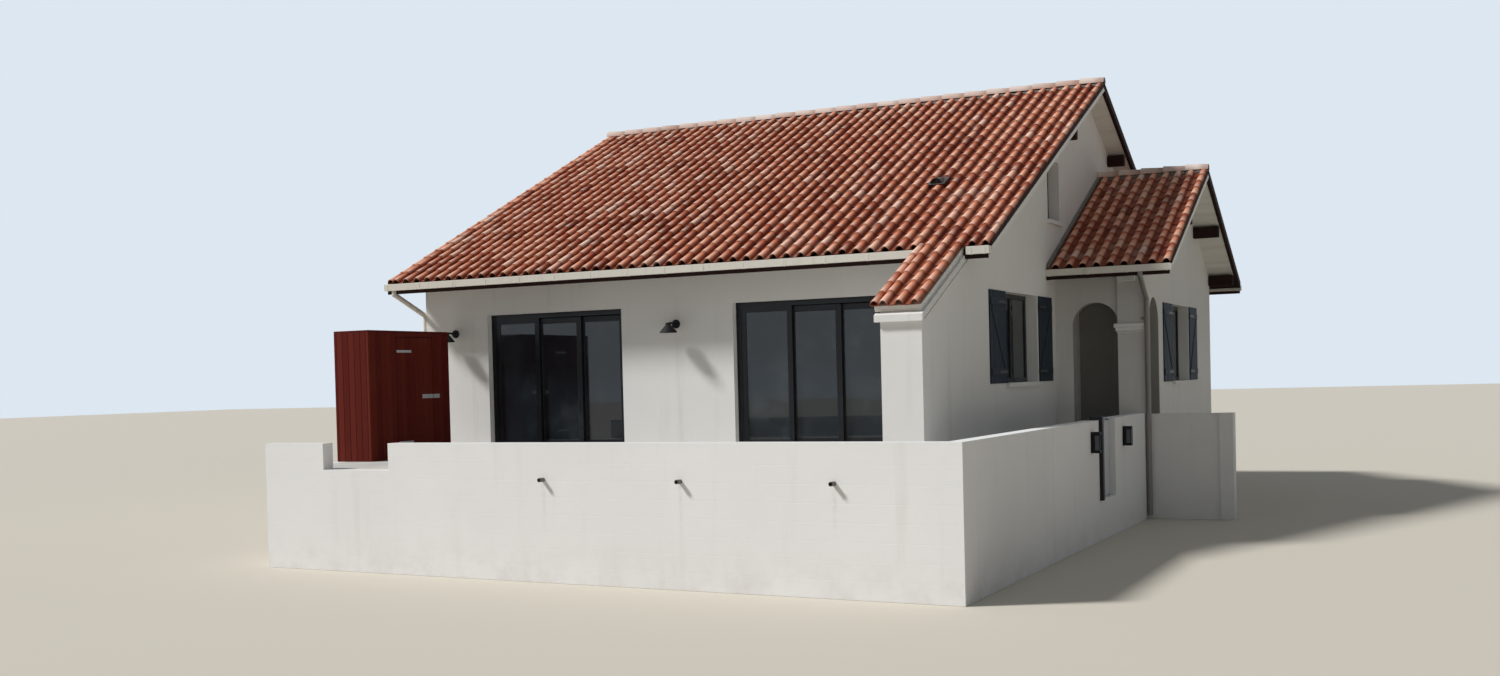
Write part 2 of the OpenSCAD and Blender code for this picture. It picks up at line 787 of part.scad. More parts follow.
module wing_roof_front() {
    color("sienna") placed() wing_slope(1);
}

module wing_roof_back() {
    color("sienna") placed() translate([0, 2 * wing_ridge_y, 0]) mirror([0, 1, 0]) wing_slope(-1);
}

// Terrace floor, with the edge that holds it back beside the entrance steps
module terrace_slab() {
    color("tan") placed() {
        translate([0, 0, floor_z - slab_t]) linear_extrude(slab_t) polygon([
            [gate_wall_x, front_line(gate_wall_x) + front_back_shift + seat_gap],
            [gate_wall_x, gate_low_y], [0, gate_low_y], [0, -buttress_len],
            [-buttress_w, -buttress_len], [-buttress_w, 0],
            [-house_w + left_shift + seat_gap, 0],
            left_corner(left_shift + seat_gap, seat_gap)]);
        block([0, gate_low_y - terrace_wall_t, 0], [gate_wall_x, gate_low_y, floor_z - slab_t]);
    }
}

// Front retaining wall with its parapet, cut down to the floor at the gap
module terrace_front_wall() {
    gap_low = corner_left.x + gap_x;
    left_end_pair = [corner_left, outer_corner];
    color("white") placed() {
        linear_extrude(floor_z) front_strip(left_end_pair, front_pair(corner_right.x));
        translate([0, 0, floor_z]) linear_extrude(parapet_h) {
            front_strip(left_end_pair, front_pair(gap_low));
            front_strip(front_pair(gap_low + gap_w), front_pair(corner_right.x));
        }
    }
}

// Front and back point of the front wall at x
function front_pair(x) = [[x, front_line(x)], [x, front_line(x) + front_back_shift]];

module front_strip(low_pair, high_pair) {
    polygon([low_pair[0], high_pair[0], high_pair[1], low_pair[1]]);
}

module terrace_side_wall() {
    color("white") placed() linear_extrude(parapet_z) polygon([
        [gate_wall_x, front_line(gate_wall_x) + front_back_shift + seat_gap],
        [terrace_right, front_line(terrace_right) + front_back_shift + seat_gap],
        [terrace_right, gate_low_y], [gate_wall_x, gate_low_y]]);
}

module gate_wall() {
    color("white") placed() block([gate_wall_x, gate_high_y, 0], [terrace_right, wing_y, parapet_z]);
}

module terrace_left_wall() {
    color("white") placed() linear_extrude(floor_z) polygon([
        left_corner(0, seat_gap), left_corner(left_shift, seat_gap),
        [-house_w + left_shift, 0], [-house_w, 0]]);
}

// Landing behind the gate, then steps up to the porch floor
module entry_steps() {
    color("lightgray") placed() {
        block([0, gate_low_y, 0], [gate_wall_x, gate_high_y, gate_sill]);
        block([gate_wall_x, gate_low_y, 0], [terrace_right, gate_high_y, gate_sill]);
        block([0, gate_high_y, 0], [gate_wall_x, landing_back, gate_sill]);
        for (i = [1 : risers - 1])
            block([0, landing_back + (i - 1) * tread, 0],
                [gate_wall_x, landing_back + i * tread, gate_sill + i * riser]);
        block([0, landing_back + (risers - 1) * tread, 0], [gate_wall_x, wing_y, floor_z]);
    }
}

// Garden wall that runs on from the porch pier, with its end pillar
module garden_wall() {
    top = floor_z + stub_h;
    color("whitesmoke") placed() {
        block([terrace_right, wing_y, 0], [terrace_right + stub_w, wing_y + terrace_wall_t, top]);
        block([terrace_right + stub_w, wing_y - mould_out / 2, 0],
            [right_end, wing_y + terrace_wall_t + mould_out / 2, top]);
    }
}

// The gate turns on two pins that stand in bores in its rounded hinge edge
gate_x = terrace_right - terrace_wall_t / 2;
gate_hinge_y = gate_high_y - gate_t / 2 - gate_gap;
gate_low = gate_sill + gate_gap;
gate_high = parapet_z - 2 * gate_gap;
pin_len = 3 * gate_gap;
bore_r = hinge_r + seat_gap;

// Solid white gate leaf
module garden_gate() {
    color("white") placed() difference() {
        union() {
            block([gate_x - gate_t / 2, gate_low_y + gate_post + gate_gap, gate_low],
                [gate_x + gate_t / 2, gate_hinge_y, gate_high]);
            translate([gate_x, gate_hinge_y, gate_low]) cylinder(h = gate_high - gate_low, r = gate_t / 2);
        }
        translate([gate_x, gate_hinge_y, gate_low - through]) cylinder(h = pin_len + through, r = bore_r);
        translate([gate_x, gate_hinge_y, gate_high - pin_len]) cylinder(h = pin_len + through, r = bore_r);
    }
}

// Steel post that the gate latches against, proud of the outer face of the wall, the foot pin
// and the top bracket with its pin
module gate_ironwork() {
    pin_reach = pin_len - gate_gap / 2;
    color("darkslategray") placed() {
        block([gate_x - gate_t / 2, gate_low_y, gate_sill],
            [terrace_right + gate_post_out, gate_low_y + gate_post, parapet_z + gate_post_up]);
        translate([gate_x, gate_hinge_y, gate_sill]) {
            cylinder(h = gate_gap - seat_gap, r = gate_t / 2 - hinge_r / 2);
            cylinder(h = gate_gap + pin_reach, r = hinge_r);
        }
        block([gate_x - gate_t / 3, gate_hinge_y - gate_t / 3, gate_high + gate_gap / 2],
            [gate_x + gate_t / 3, gate_high_y, gate_high + gate_gap]);
        translate([gate_x, gate_hinge_y, gate_high - pin_reach])
            cylinder(h = pin_reach + gate_gap, r = hinge_r);
    }
}

// Outer frame of a terrace door, with the fixed leaf on its front track
module door_frame(x) {
    difference() {
        block([x, bay_reveal, floor_z], [x + bay_w, bay_reveal + frame_t, door_z]);
        block([x + profile_w, bay_reveal - through, floor_z + profile_w],
            [x + bay_w - profile_w, bay_reveal + frame_t + through, door_z - profile_w]);
    }
}

module door_frames() {
    color("black") placed() for (x = [left_bay_x, right_bay_x]) {
        door_frame(x);
        leaf_ring(leaf_corner(x, 0) - fixed_drop, fixed_size);
        for (track = [1, 2])
            translate([x + profile_w, leaf_corner(x, track).y + (leaf_t - rail_w) / 2, floor_z + profile_w])
                cube([bay_w - 2 * profile_w, rail_w, leaf_gap - seat_gap]);
    }
}

module left_door_middle_leaf() { door_leaf(left_bay_x, 1); }
module left_door_end_leaf() { door_leaf(left_bay_x, 2); }
module right_door_middle_leaf() { door_leaf(right_bay_x, 1); }
module right_door_end_leaf() { door_leaf(right_bay_x, 2); }
module left_door_middle_pane() { door_pane(left_bay_x, 1); }
module left_door_end_pane() { door_pane(left_bay_x, 2); }
module right_door_middle_pane() { door_pane(right_bay_x, 1); }
module right_door_end_pane() { door_pane(right_bay_x, 2); }

module leaf_ring(corner, size) {
    difference() {
        translate(corner) cube(size);
        translate(corner + [profile_w, -through, profile_w])
            cube(size - [2 * profile_w, -2 * through, 2 * profile_w]);
    }
}

module leaf_glass(corner, size) {
    translate(corner + [profile_w, (leaf_t - pane_t) / 2, profile_w])
        cube([size.x - 2 * profile_w, pane_t, size.z - 2 * profile_w]);
}

module door_leaf(x, track) {
    color("black") placed() leaf_ring(leaf_corner(x, track), leaf_size);
}

module door_pane(x, track) {
    color("lightskyblue") placed() leaf_glass(leaf_corner(x, track), leaf_size);
}

// Frame of a window in a wall that faces right, with a middle post where two sashes meet
module window_frame(x, y, w, z, h, posts) {
    block([x, y, z], [x + sash_t, y + w, z + sash_w]);
    block([x, y, z + h - sash_w], [x + sash_t, y + w, z + h]);
    for (i = [0 : posts + 1])
        block([x, y + i * (w - sash_w) / (posts + 1), z],
            [x + sash_t, y + i * (w - sash_w) / (posts + 1) + sash_w, z + h]);
}

module window_pane(x, y, w, z, h, posts) {
    pitch_w = (w - sash_w) / (posts + 1);
    for (i = [0 : posts])
        block([x + (sash_t - pane_t) / 2, y + sash_w + i * pitch_w, z + sash_w],
            [x + (sash_t + pane_t) / 2, y + (i + 1) * pitch_w, z + h - sash_w]);
}

module gable_window_frame() {
    color("darkslategray") placed()
        window_frame(-win_reveal - sash_t, gable_win_y, gable_win_w, floor_z + gable_sill, win_h, 1);
}

module loft_window_frame() {
    color("darkslategray") placed()
        window_frame(-win_reveal - sash_t, loft_win_y, loft_win_w, loft_z + loft_sill, loft_win_h, 0);
}

module wing_window_frame() {
    color("darkslategray") placed()
        window_frame(wing_w - win_reveal - sash_t, wing_y + wing_win_y, wing_win_w,
            floor_z + wing_sill, win_h, 1);
}

module fixed_panes() {
    color("lightskyblue") placed() {
        for (x = [left_bay_x, right_bay_x])
            leaf_glass(leaf_corner(x, 0) - fixed_drop, fixed_size);
        window_pane(-win_reveal - sash_t, gable_win_y, gable_win_w, floor_z + gable_sill, win_h, 1);
        window_pane(-win_reveal - sash_t, loft_win_y, loft_win_w, loft_z + loft_sill, loft_win_h, 0);
        window_pane(wing_w - win_reveal - sash_t, wing_y + wing_win_y, wing_win_w,
            floor_z + wing_sill, win_h, 1);
    }
}

module shutters() {
    color("darkslateblue") placed() {
        shutter_pair(0, gable_win_y, gable_win_w, floor_z + gable_sill);
        shutter_pair(wing_w, wing_y + wing_win_y, wing_win_w, floor_z + wing_sill);
    }
}

module shutter_pair(x, y, w, z) {
    for (low = [y - shutter_w - sill_out, y + w + sill_out])
        block([x, low, z], [x + shutter_t, low + shutter_w, z + win_h]);
}

module entrance_door() {
    color("darkslategray") placed()
        block([-wall_t + entry_in, wing_y + entry_y, floor_z],
            [-wall_t + entry_in + entry_t, wing_y + entry_y + entry_w, door_z]);
}

// Timber store on the terrace, with a doorway in its long right side
store_x = -house_w + store_in;
store_top = floor_z + store_h;
store_low_y = -store_y;
store_high_y = store_low_y + store_d;
doorway_low = store_low_y + store_door_in;
doorway_high = doorway_low + store_door_w;
doorway_foot = floor_z + board_t;
doorway_head = store_top - store_head;
store_hinge_x = store_x + store_w - board_t / 2;
store_hinge_y = doorway_low + board_t / 2 + leaf_gap;
store_pin_r = board_t / 5;
store_pin_len = board_t;

module store_shell() {
    color("maroon") placed() {
        difference() {
            block([store_x, store_low_y, floor_z], [store_x + store_w, store_high_y, store_top]);
            block([store_x + board_t, store_low_y + board_t, floor_z + board_t],
                [store_x + store_w - board_t, store_high_y - board_t, store_top - board_t]);
            block([store_x + store_w - board_t - through, doorway_low, doorway_foot],
                [store_x + store_w + through, doorway_high, doorway_head]);
        }
        translate([store_hinge_x, store_hinge_y, doorway_foot]) {
            cylinder(h = leaf_gap - seat_gap, r = 2 * store_pin_r);
            cylinder(h = leaf_gap + store_pin_len, r = store_pin_r);
        }
        translate([store_hinge_x, store_hinge_y, doorway_head - leaf_gap - store_pin_len])
            cylinder(h = leaf_gap + store_pin_len + board_t / 2, r = store_pin_r);
    }
}

module store_door() {
    foot = doorway_foot + leaf_gap;
    head = doorway_head - leaf_gap;
    middle = (foot + head) / 2;
    color("maroon") placed() difference() {
        union() {
            block([store_x + store_w - board_t, store_hinge_y, foot],
                [store_x + store_w, doorway_high - leaf_gap, head]);
            translate([store_hinge_x, store_hinge_y, foot]) cylinder(h = head - foot, r = board_t / 2);
            block([store_x + store_w, doorway_high - handle_in - handle_w, middle - handle_h / 2],
                [store_x + store_w + handle_t, doorway_high - handle_in, middle + handle_h / 2]);
        }
        for (z = [foot - through, head - store_pin_len - seat_gap])
            translate([store_hinge_x, store_hinge_y, z])
                cylinder(h = store_pin_len + seat_gap + through, r = store_pin_r + seat_gap);
    }
}

// Lamps on the house front and box lights beside the gate
module wall_lights() {
    lamp_z = floor_z + lamp_up;
    box_z = floor_z - box_light_drop;
    color("black") placed() {
        for (x = [(left_bay_x + bay_w + right_bay_x) / 2, left_bay_x - lamp_side])
            translate([x, 0, lamp_z]) barn_lamp();
        for (y = [gate_low_y - box_light_front - box_light_w, gate_high_y + box_light_back])
            block([terrace_right, y, box_z],
                [terrace_right + box_light_w, y + box_light_w, box_z + box_light_h]);
    }
}

// Wall plate, arm and conical shade, open below
module barn_lamp() {
    reach = 2 * lamp_r;
    arm = lamp_r / 4;
    rotate([90, 0, 0]) cylinder(h = arm, r = lamp_r / 2);
    translate([-arm / 2, -reach, -arm / 2]) cube([arm, reach, arm]);
    translate([0, -reach, -lamp_r]) difference() {
        cylinder(h = lamp_r, r1 = lamp_r, r2 = lamp_r / 3);
        translate([0, 0, -through])
            cylinder(h = lamp_r - arm, r1 = lamp_r - shade_t, r2 = lamp_r / 3);
    }
}

// Drain spouts just under the terrace floor, square to the wall
module drain_spouts() {
    color("dimgray") placed() for (i = [0 : spouts - 1]) {
        x = terrace_right - spout_in - i * spout_step;
        translate([x, front_line(x), floor_z - spout_drop]) rotate([90, 0, atan(front_slope)])
            translate([0, 0, seat_gap]) cylinder(h = spout_out, r = spout_r);
    }
}

ground_floor();
loft_floor();
front_wall_base();
front_wall_left();
front_wall_middle();
front_wall_right();
front_lintel();
left_gable_wall();
right_gable_wall();
rear_wall();
buttress_wall();
main_roof_front();
main_roof_back();
ridge_tiles();
main_gutters();
rear_gutter();
wing_gutters();
downpipes();
purlins();
wing_floor();
wing_front_wall();
wing_side_wall();
wing_rear_wall();
porch_back_wall();
wing_roof_front();
wing_roof_back();
terrace_slab();
terrace_front_wall();
terrace_side_wall();
gate_wall();
terrace_left_wall();
entry_steps();
garden_wall();
garden_gate();
gate_ironwork();
door_frames();
left_door_middle_leaf();
left_door_end_leaf();
right_door_middle_leaf();
right_door_end_leaf();
left_door_middle_pane();
left_door_end_pane();
right_door_middle_pane();
right_door_end_pane();
gable_window_frame();
loft_window_frame();
wing_window_frame();
fixed_panes();
shutters();
entrance_door();
store_shell();
store_door();
wall_lights();
drain_spouts();
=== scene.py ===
# %% [markdown]
# Beach house, dressed in Blender
#
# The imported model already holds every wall, slab, frame and roof at its real size. This script
# loads it, keeps it as it is, and adds what a plain solid can't show: the tiles one by one, the
# boards of the store and the shutters, the ironwork, and materials with grain, stains and wear.
# Everything is in metres. X runs along the ridge, Y from the terrace to the back and Z up.

# %% Load the frame
import math
import random

import bmesh
import bpy
from mathutils import Matrix, Vector


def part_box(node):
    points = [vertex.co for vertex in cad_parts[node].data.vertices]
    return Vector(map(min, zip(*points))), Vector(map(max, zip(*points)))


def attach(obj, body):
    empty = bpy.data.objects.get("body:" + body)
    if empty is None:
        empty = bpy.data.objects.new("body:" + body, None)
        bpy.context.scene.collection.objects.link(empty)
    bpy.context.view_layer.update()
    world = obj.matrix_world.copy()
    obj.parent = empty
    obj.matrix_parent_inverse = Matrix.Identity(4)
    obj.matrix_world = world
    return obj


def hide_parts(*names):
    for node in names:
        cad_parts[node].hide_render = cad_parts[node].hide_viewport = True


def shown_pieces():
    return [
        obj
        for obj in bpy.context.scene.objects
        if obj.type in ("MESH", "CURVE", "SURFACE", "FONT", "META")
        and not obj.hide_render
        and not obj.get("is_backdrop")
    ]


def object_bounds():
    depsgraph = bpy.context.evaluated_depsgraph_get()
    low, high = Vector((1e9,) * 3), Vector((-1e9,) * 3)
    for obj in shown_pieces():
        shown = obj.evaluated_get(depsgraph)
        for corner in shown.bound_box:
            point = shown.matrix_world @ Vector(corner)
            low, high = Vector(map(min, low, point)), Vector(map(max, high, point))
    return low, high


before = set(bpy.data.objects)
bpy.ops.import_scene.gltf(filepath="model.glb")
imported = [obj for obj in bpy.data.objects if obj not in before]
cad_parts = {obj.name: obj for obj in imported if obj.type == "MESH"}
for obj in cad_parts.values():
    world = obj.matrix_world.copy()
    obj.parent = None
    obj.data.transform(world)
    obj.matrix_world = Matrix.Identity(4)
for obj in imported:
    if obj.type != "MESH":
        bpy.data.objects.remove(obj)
cad_low, cad_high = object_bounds()
print("CAD box", [round(v, 3) for v in cad_low], [round(v, 3) for v in cad_high])


def in_scene(name, data):
    """Makes an object of some data and puts it in the scene."""
    made = bpy.data.objects.new(name, data)
    bpy.context.scene.collection.objects.link(made)
    return made

# %% [markdown]
# The photograph was taken from the sand in front, a little above head height of the terrace floor.
# The camera stands where it stood and looks the same way. Its lens is longer and shifted to the
# middle of the house, so that the house fills the picture instead of a quarter of it. The point of
# view and the direction fix the perspective, and lens and shift only crop it.

# %% Camera at the photograph's point of view
YAW, PITCH, ROLL = math.radians(-28.471), math.radians(-1.410), math.radians(-1.535)
EYE = Vector((9.1615, -25.4139, 2.3179))
PHOTO_WIDTH, PHOTO_FOCAL = 1500.0, 646.1
PHOTO_CENTRE = Vector((750.0, 343.3))
HOUSE_CENTRE = Vector((804.0, 309.0))
SENSOR_WIDTH = 36.0
ZOOM = 2.45

ahead = Vector((math.sin(YAW) * math.cos(PITCH), math.cos(YAW) * math.cos(PITCH), math.sin(PITCH)))
level = Vector((math.cos(YAW), -math.sin(YAW), 0))
upright = level.cross(ahead)
across = math.cos(ROLL) * level + math.sin(ROLL) * upright
above = -math.sin(ROLL) * level + math.cos(ROLL) * upright

camera = in_scene("camera", bpy.data.cameras.new("camera"))
basis = Matrix((across, above, -ahead)).transposed().to_4x4()
camera.matrix_world = Matrix.Translation(EYE) @ basis
camera.data.sensor_width = SENSOR_WIDTH
camera.data.lens = PHOTO_FOCAL * SENSOR_WIDTH / PHOTO_WIDTH * ZOOM
offset = (HOUSE_CENTRE - PHOTO_CENTRE) / PHOTO_WIDTH * ZOOM
camera.data.shift_x, camera.data.shift_y = offset.x, -offset.y
camera.data.clip_end = 500.0
bpy.context.scene.camera = camera
print("lens", round(camera.data.lens, 2), "mm, shift", round(offset.x, 3), round(-offset.y, 3))

# %% [markdown]
# A plain pale floor and a pale sky close the picture. The lamps are soft: one broad sun from the
# upper left, where the photograph's sun stands, and an even sky. Together they light a wall that
# faces the sun a little more than its colour, and a wall in the shade a little less.

# %% Floor, sky and lamps
SKY_LIGHT, SKY_COLOUR = 0.18, (0.90, 0.95, 1.0, 1.0)
SUN_LIGHT, SUN_WAY, SUN_SPREAD = 3.3, Vector((0.60, 0.36, -0.71)), math.radians(9)
FLOOR_HALF, FLOOR_DROP = 150.0, 0.002
FLOOR_COLOUR = (0.62, 0.57, 0.485, 1.0)
BACKDROP = (0.72, 0.80, 0.88, 1.0)

world = bpy.data.worlds.new("studio")
bpy.context.scene.world = world
world.use_nodes = True
links, nodes = world.node_tree.links, world.node_tree.nodes
nodes.clear()
even = nodes.new("ShaderNodeBackground")
even.inputs["Color"].default_value = SKY_COLOUR
even.inputs["Strength"].default_value = SKY_LIGHT
backdrop = nodes.new("ShaderNodeBackground")
backdrop.inputs["Color"].default_value = BACKDROP
path = nodes.new("ShaderNodeLightPath")
seen = nodes.new("ShaderNodeMath")
seen.operation = "MAXIMUM"
links.new(path.outputs["Is Camera Ray"], seen.inputs[0])
links.new(path.outputs["Is Glossy Ray"], seen.inputs[1])
choose = nodes.new("ShaderNodeMixShader")
links.new(seen.outputs[0], choose.inputs[0])
links.new(even.outputs[0], choose.inputs[1])
links.new(backdrop.outputs[0], choose.inputs[2])
links.new(choose.outputs[0], nodes.new("ShaderNodeOutputWorld").inputs[0])

sun = in_scene("sun", bpy.data.lights.new("sun", "SUN"))
sun.data.energy = SUN_LIGHT
sun.data.angle = SUN_SPREAD
sun.rotation_euler = SUN_WAY.to_track_quat("-Z", "Y").to_euler()
bpy.context.scene.view_settings.view_transform = "Standard"

bm = bmesh.new()
bmesh.ops.create_grid(bm, x_segments=2, y_segments=2, size=FLOOR_HALF)
bmesh.ops.translate(bm, verts=bm.verts, vec=(0, 0, -FLOOR_DROP))
floor_mesh = bpy.data.meshes.new("floor")
bm.to_mesh(floor_mesh)
bm.free()
floor = in_scene("floor", floor_mesh)
floor_paint = bpy.data.materials.new("floor")
floor_paint.use_nodes = True
floor_shader = floor_paint.node_tree.nodes["Principled BSDF"]
floor_shader.inputs["Base Color"].default_value = FLOOR_COLOUR
floor_shader.inputs["Roughness"].default_value = 0.95
floor_mesh.materials.append(floor_paint)
floor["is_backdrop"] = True
print("floor and lamps made")

# %% [markdown]
# Materials are node trees, and most of their nodes are plain sums. A small class wraps a socket so
# that a sum can be written as one: `1 - mask * 0.5` makes two Math nodes and links them. Colours
# are blended with Mix nodes instead, because a Math node would turn them grey.

# %% Shader sums written as Python
class Wire:
    """A socket of a material that can be used in sums."""

    def __init__(self, finish, socket):
        self.finish, self.socket = finish, socket

    def sum(self, operation, *values):
        return self.finish.node("ShaderNodeMath", {"operation": operation}, dict(enumerate(values)))

    def __add__(self, other):
        return self.sum("ADD", self, other)

    def __sub__(self, other):
        return self.sum("SUBTRACT", self, other)

    def __rsub__(self, other):
        return self.sum("SUBTRACT", other, self)

    def __mul__(self, other):
        return self.sum("MULTIPLY", self, other)

    def __truediv__(self, other):
        return self.sum("DIVIDE", self, other)

    def __rtruediv__(self, other):
        return self.sum("DIVIDE", other, self)

    __radd__, __rmul__ = __add__, __mul__

    def band(self, low, high):
        """0 below low, 1 above high, smooth between them."""
        return self.finish.node("ShaderNodeMapRange", {"interpolation_type": "SMOOTHSTEP"},
                                {"Value": self, "From Min": low, "From Max": high})

    def stripe(self, middle, reach):
        """1 at middle, fading to 0 at reach on either side."""
        return self.band(middle - reach, middle) * (1 - self.band(middle, middle + reach))


class Finish:
    """A material on one Principled shader. Values that are the same all over go on the shader."""

    def __init__(self, name, colour, roughness=0.8, **constants):
        self.material = bpy.data.materials.new(name)
        self.material.use_nodes = True
        self.tree = self.material.node_tree
        self.shader = self.tree.nodes["Principled BSDF"]
        self.set("Base Color", colour)
        self.set("Roughness", roughness)
        for socket, value in constants.items():
            self.set(socket.replace("_", " "), value)
        self.place = self.node("ShaderNodeTexCoord", out="Object")
        self.axes = self.node("ShaderNodeSeparateXYZ", inputs={"Vector": self.place}, out=None)
        self.x, self.y, self.z = (Wire(self, socket) for socket in self.axes.outputs)

    def fill(self, socket, value):
        if isinstance(value, Wire):
            self.tree.links.new(value.socket, socket)
        elif isinstance(value, tuple) and len(value) == 3 and socket.type == "RGBA":
            socket.default_value = (*value, 1.0)
        else:
            socket.default_value = value

    def set(self, socket, value):
        self.fill(self.shader.inputs[socket], value)

    def node(self, kind, settings=None, inputs=None, out=0):
        """Adds a node, sets it up, fills its sockets and gives back one of its outputs."""
        node = self.tree.nodes.new(kind)
        for key, value in (settings or {}).items():
            if key == "stops":
                ramp = node.color_ramp
                while len(ramp.elements) < len(value):
                    ramp.elements.new(0.5)
                for element, (at, colour) in zip(ramp.elements, value):
                    element.position, element.color = at, (*colour, 1.0)
            else:
                setattr(node, key, value)
        for key, value in (inputs or {}).items():
            self.fill(node.inputs[key], value)
        return node if out is None else Wire(self, node.outputs[out])

    def noise(self, scale, detail=3.0, rough=0.55, at=None):
        return self.node("ShaderNodeTexNoise", inputs={
            "Vector": at or self.place, "Scale": scale, "Detail": detail, "Roughness": rough})

    def stretched(self, x, y, z):
        """Object coordinates, scaled on each axis."""
        return self.node("ShaderNodeMapping", inputs={"Vector": self.place, "Scale": (x, y, z)})

    def ramp(self, factor, *stops):
        return self.node("ShaderNodeValToRGB", {"stops": stops}, {"Fac": factor})

    def mix(self, factor, first, second):
        return self.node("ShaderNodeMix", {"data_type": "RGBA"},
                         {0: factor, 6: first, 7: second}, out=2)

    def stain(self, amount, clean, dirty, roughness=None):
        """Turns the clean colour into the dirty one by amount, and may set the roughness."""
        self.set("Base Color", self.mix(amount, clean, dirty))
        if roughness is not None:
            self.set("Roughness", roughness)

    def attribute(self, name):
        return self.node("ShaderNodeAttribute", {"attribute_name": name}, out="Fac")

    def bump(self, height, strength, distance):
        self.set("Normal", self.node("ShaderNodeBump", inputs={
            "Height": height, "Strength": strength, "Distance": distance}))


def dress(finish, *names):
    """Gives CAD nodes a finish. Their shape stays as it is."""
    for name in names:
        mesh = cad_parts[name].data
        mesh.materials.clear()
        mesh.materials.append(finish.material)
    print(finish.material.name, "on", ", ".join(names))

# %% [markdown]
# New pieces are built from small shapes that are stamped into one mesh: a tile, a board, a strap.
# Each stamp carries a number called tone, kept on its points, that its material turns into a
# slightly lighter or darker piece. That is how no two tiles or boards look the same.

# %% A mesh that grows stamp by stamp
SHARP_ANGLE = math.radians(35)


class Build:
    """One mesh in the making."""

    def __init__(self):
        self.bm = bmesh.new()
        self.tone = self.bm.verts.layers.float.new("tone")

    def stamp(self, mesh, matrix=Matrix(), tone=0.5):
        start = len(self.bm.verts)
        self.bm.from_mesh(mesh)
        self.bm.verts.ensure_lookup_table()
        added = self.bm.verts[start:]
        bmesh.ops.transform(self.bm, matrix=matrix, verts=added)
        self.tone = self.bm.verts.layers.float["tone"]
        for vert in added:
            vert[self.tone] = tone

    def add(self, bm, matrix=Matrix(), tone=0.5):
        """Stamps a finished bmesh and frees it."""
        mesh = bpy.data.meshes.new("stamp")
        bm.to_mesh(mesh)
        bm.free()
        self.stamp(mesh, matrix, tone)
        bpy.data.meshes.remove(mesh)

    def block(self, low, high, edge=0.004, tone=0.5, matrix=Matrix()):
        """A box with its edges taken off."""
        low, high = Vector(low), Vector(high)
        bm = bmesh.new()
        bmesh.ops.create_cube(bm, size=1.0, matrix=Matrix.Translation((low + high) / 2)
                              @ Matrix.Diagonal((*(high - low), 1.0)))
        if edge:
            bmesh.ops.bevel(bm, geom=bm.edges[:], offset=edge, affect="EDGES", segments=1,
                            profile=0.5, material=-1, offset_type="OFFSET")
        self.add(bm, matrix, tone)

    def turned(self, profile, steps=24, matrix=Matrix(), tone=0.5):
        """A profile of (radius, height) points spun round Z."""
        bm = bmesh.new()
        points = [bm.verts.new((r, 0, z)) for r, z in profile]
        edges = [bm.edges.new(pair) for pair in zip(points, points[1:])]
        bmesh.ops.spin(bm, geom=points + edges, axis=(0, 0, 1), cent=(0, 0, 0), dvec=(0, 0, 0),
                       angle=math.tau, steps=steps, use_merge=True)
        bmesh.ops.remove_doubles(bm, verts=bm.verts, dist=1e-5)
        bmesh.ops.recalc_face_normals(bm, faces=bm.faces)
        self.add(bm, matrix, tone)

    def rod(self, points, radius, sides=10, tone=0.5):
        """A round bar along a line of points: rings that are bridged one to the next."""
        bm = bmesh.new()
        points = [Vector(p) for p in points]
        loops = []
        for i, point in enumerate(points):
            way = (points[min(i + 1, len(points) - 1)] - points[max(i - 1, 0)]).normalized()
            ring = bmesh.ops.create_circle(
                bm, segments=sides, radius=radius,
                matrix=Matrix.Translation(point) @ way.to_track_quat("Z", "Y").to_matrix().to_4x4())
            loops.append(list({edge for vert in ring["verts"] for edge in vert.link_edges}))
        for first, second in zip(loops, loops[1:]):
            bmesh.ops.bridge_loops(bm, edges=first + second)
        bmesh.ops.holes_fill(bm, edges=[e for e in bm.edges if e.is_boundary], sides=0)
        bmesh.ops.recalc_face_normals(bm, faces=bm.faces)
        self.add(bm, Matrix(), tone)

    def piece(self, name, finish, body="house", replaces=(), slot=None):
        """Makes the object, at the origin, hangs it on its body and hides what it replaces."""
        mesh = bpy.data.meshes.new(name)
        self.bm.to_mesh(mesh)
        self.bm.free()
        mesh.polygons.foreach_set("use_smooth", [True] * len(mesh.polygons))
        mesh.set_sharp_from_angle(angle=SHARP_ANGLE)
        mesh.materials.append(finish.material)
        made = in_scene(name, mesh)
        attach(made, body)
        if replaces:
            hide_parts(*replaces)
        triangles = sum(len(face.vertices) - 2 for face in mesh.polygons)
        print(name, triangles, "triangles on", body)
        return made


# One seeded source of chance, so that each run lays the same tiles and boards.
rng = random.Random(7)


def clamp(value):
    return min(1.0, max(0.0, value))

# %% [markdown]
# The walls are coated with a fine scraped render. It shows almost no colour of its own, but rain
# has washed faint streaks down it and splashed its foot. A noise stretched along Z gives streaks,
# one that fades with height gives the foot, and a fine noise feeds the bump. Inside the porch,
# behind its arches, the render gets painted shade. On the wing's other walls a lighter painted
# shade deepens from two metres up towards the eaves.

# %% Render on the walls
def wall_finish(name, colour, grime, foot, stains_and_shade=None):
    finish = Finish(name, colour, roughness=0.9)
    cloud = finish.noise(0.55, 4, 0.6)
    streak = finish.noise(1.0, 4, 0.6, finish.stretched(5.0, 5.0, 0.35)).band(0.54, 0.80)
    splash = (1 - finish.z / foot).band(0.0, 1.0) * finish.noise(3.0, 5, 0.7).band(0.35, 0.75)
    tint = finish.mix(cloud.band(0.30, 0.75), tuple(c * 0.955 for c in colour), colour)
    tint = finish.mix(streak * 0.20, tint, grime)
    tint = finish.mix(splash * 0.38, tint, grime)
    # Stains, and on the porch painted shade, darken the render towards a deep grime colour.
    if stains_and_shade:
        tint = finish.mix(stains_and_shade(finish), tint, tuple(c * 0.35 for c in grime))
    finish.set("Base Color", tint)
    finish.set("Roughness", 0.84 + cloud * 0.1)
    return finish


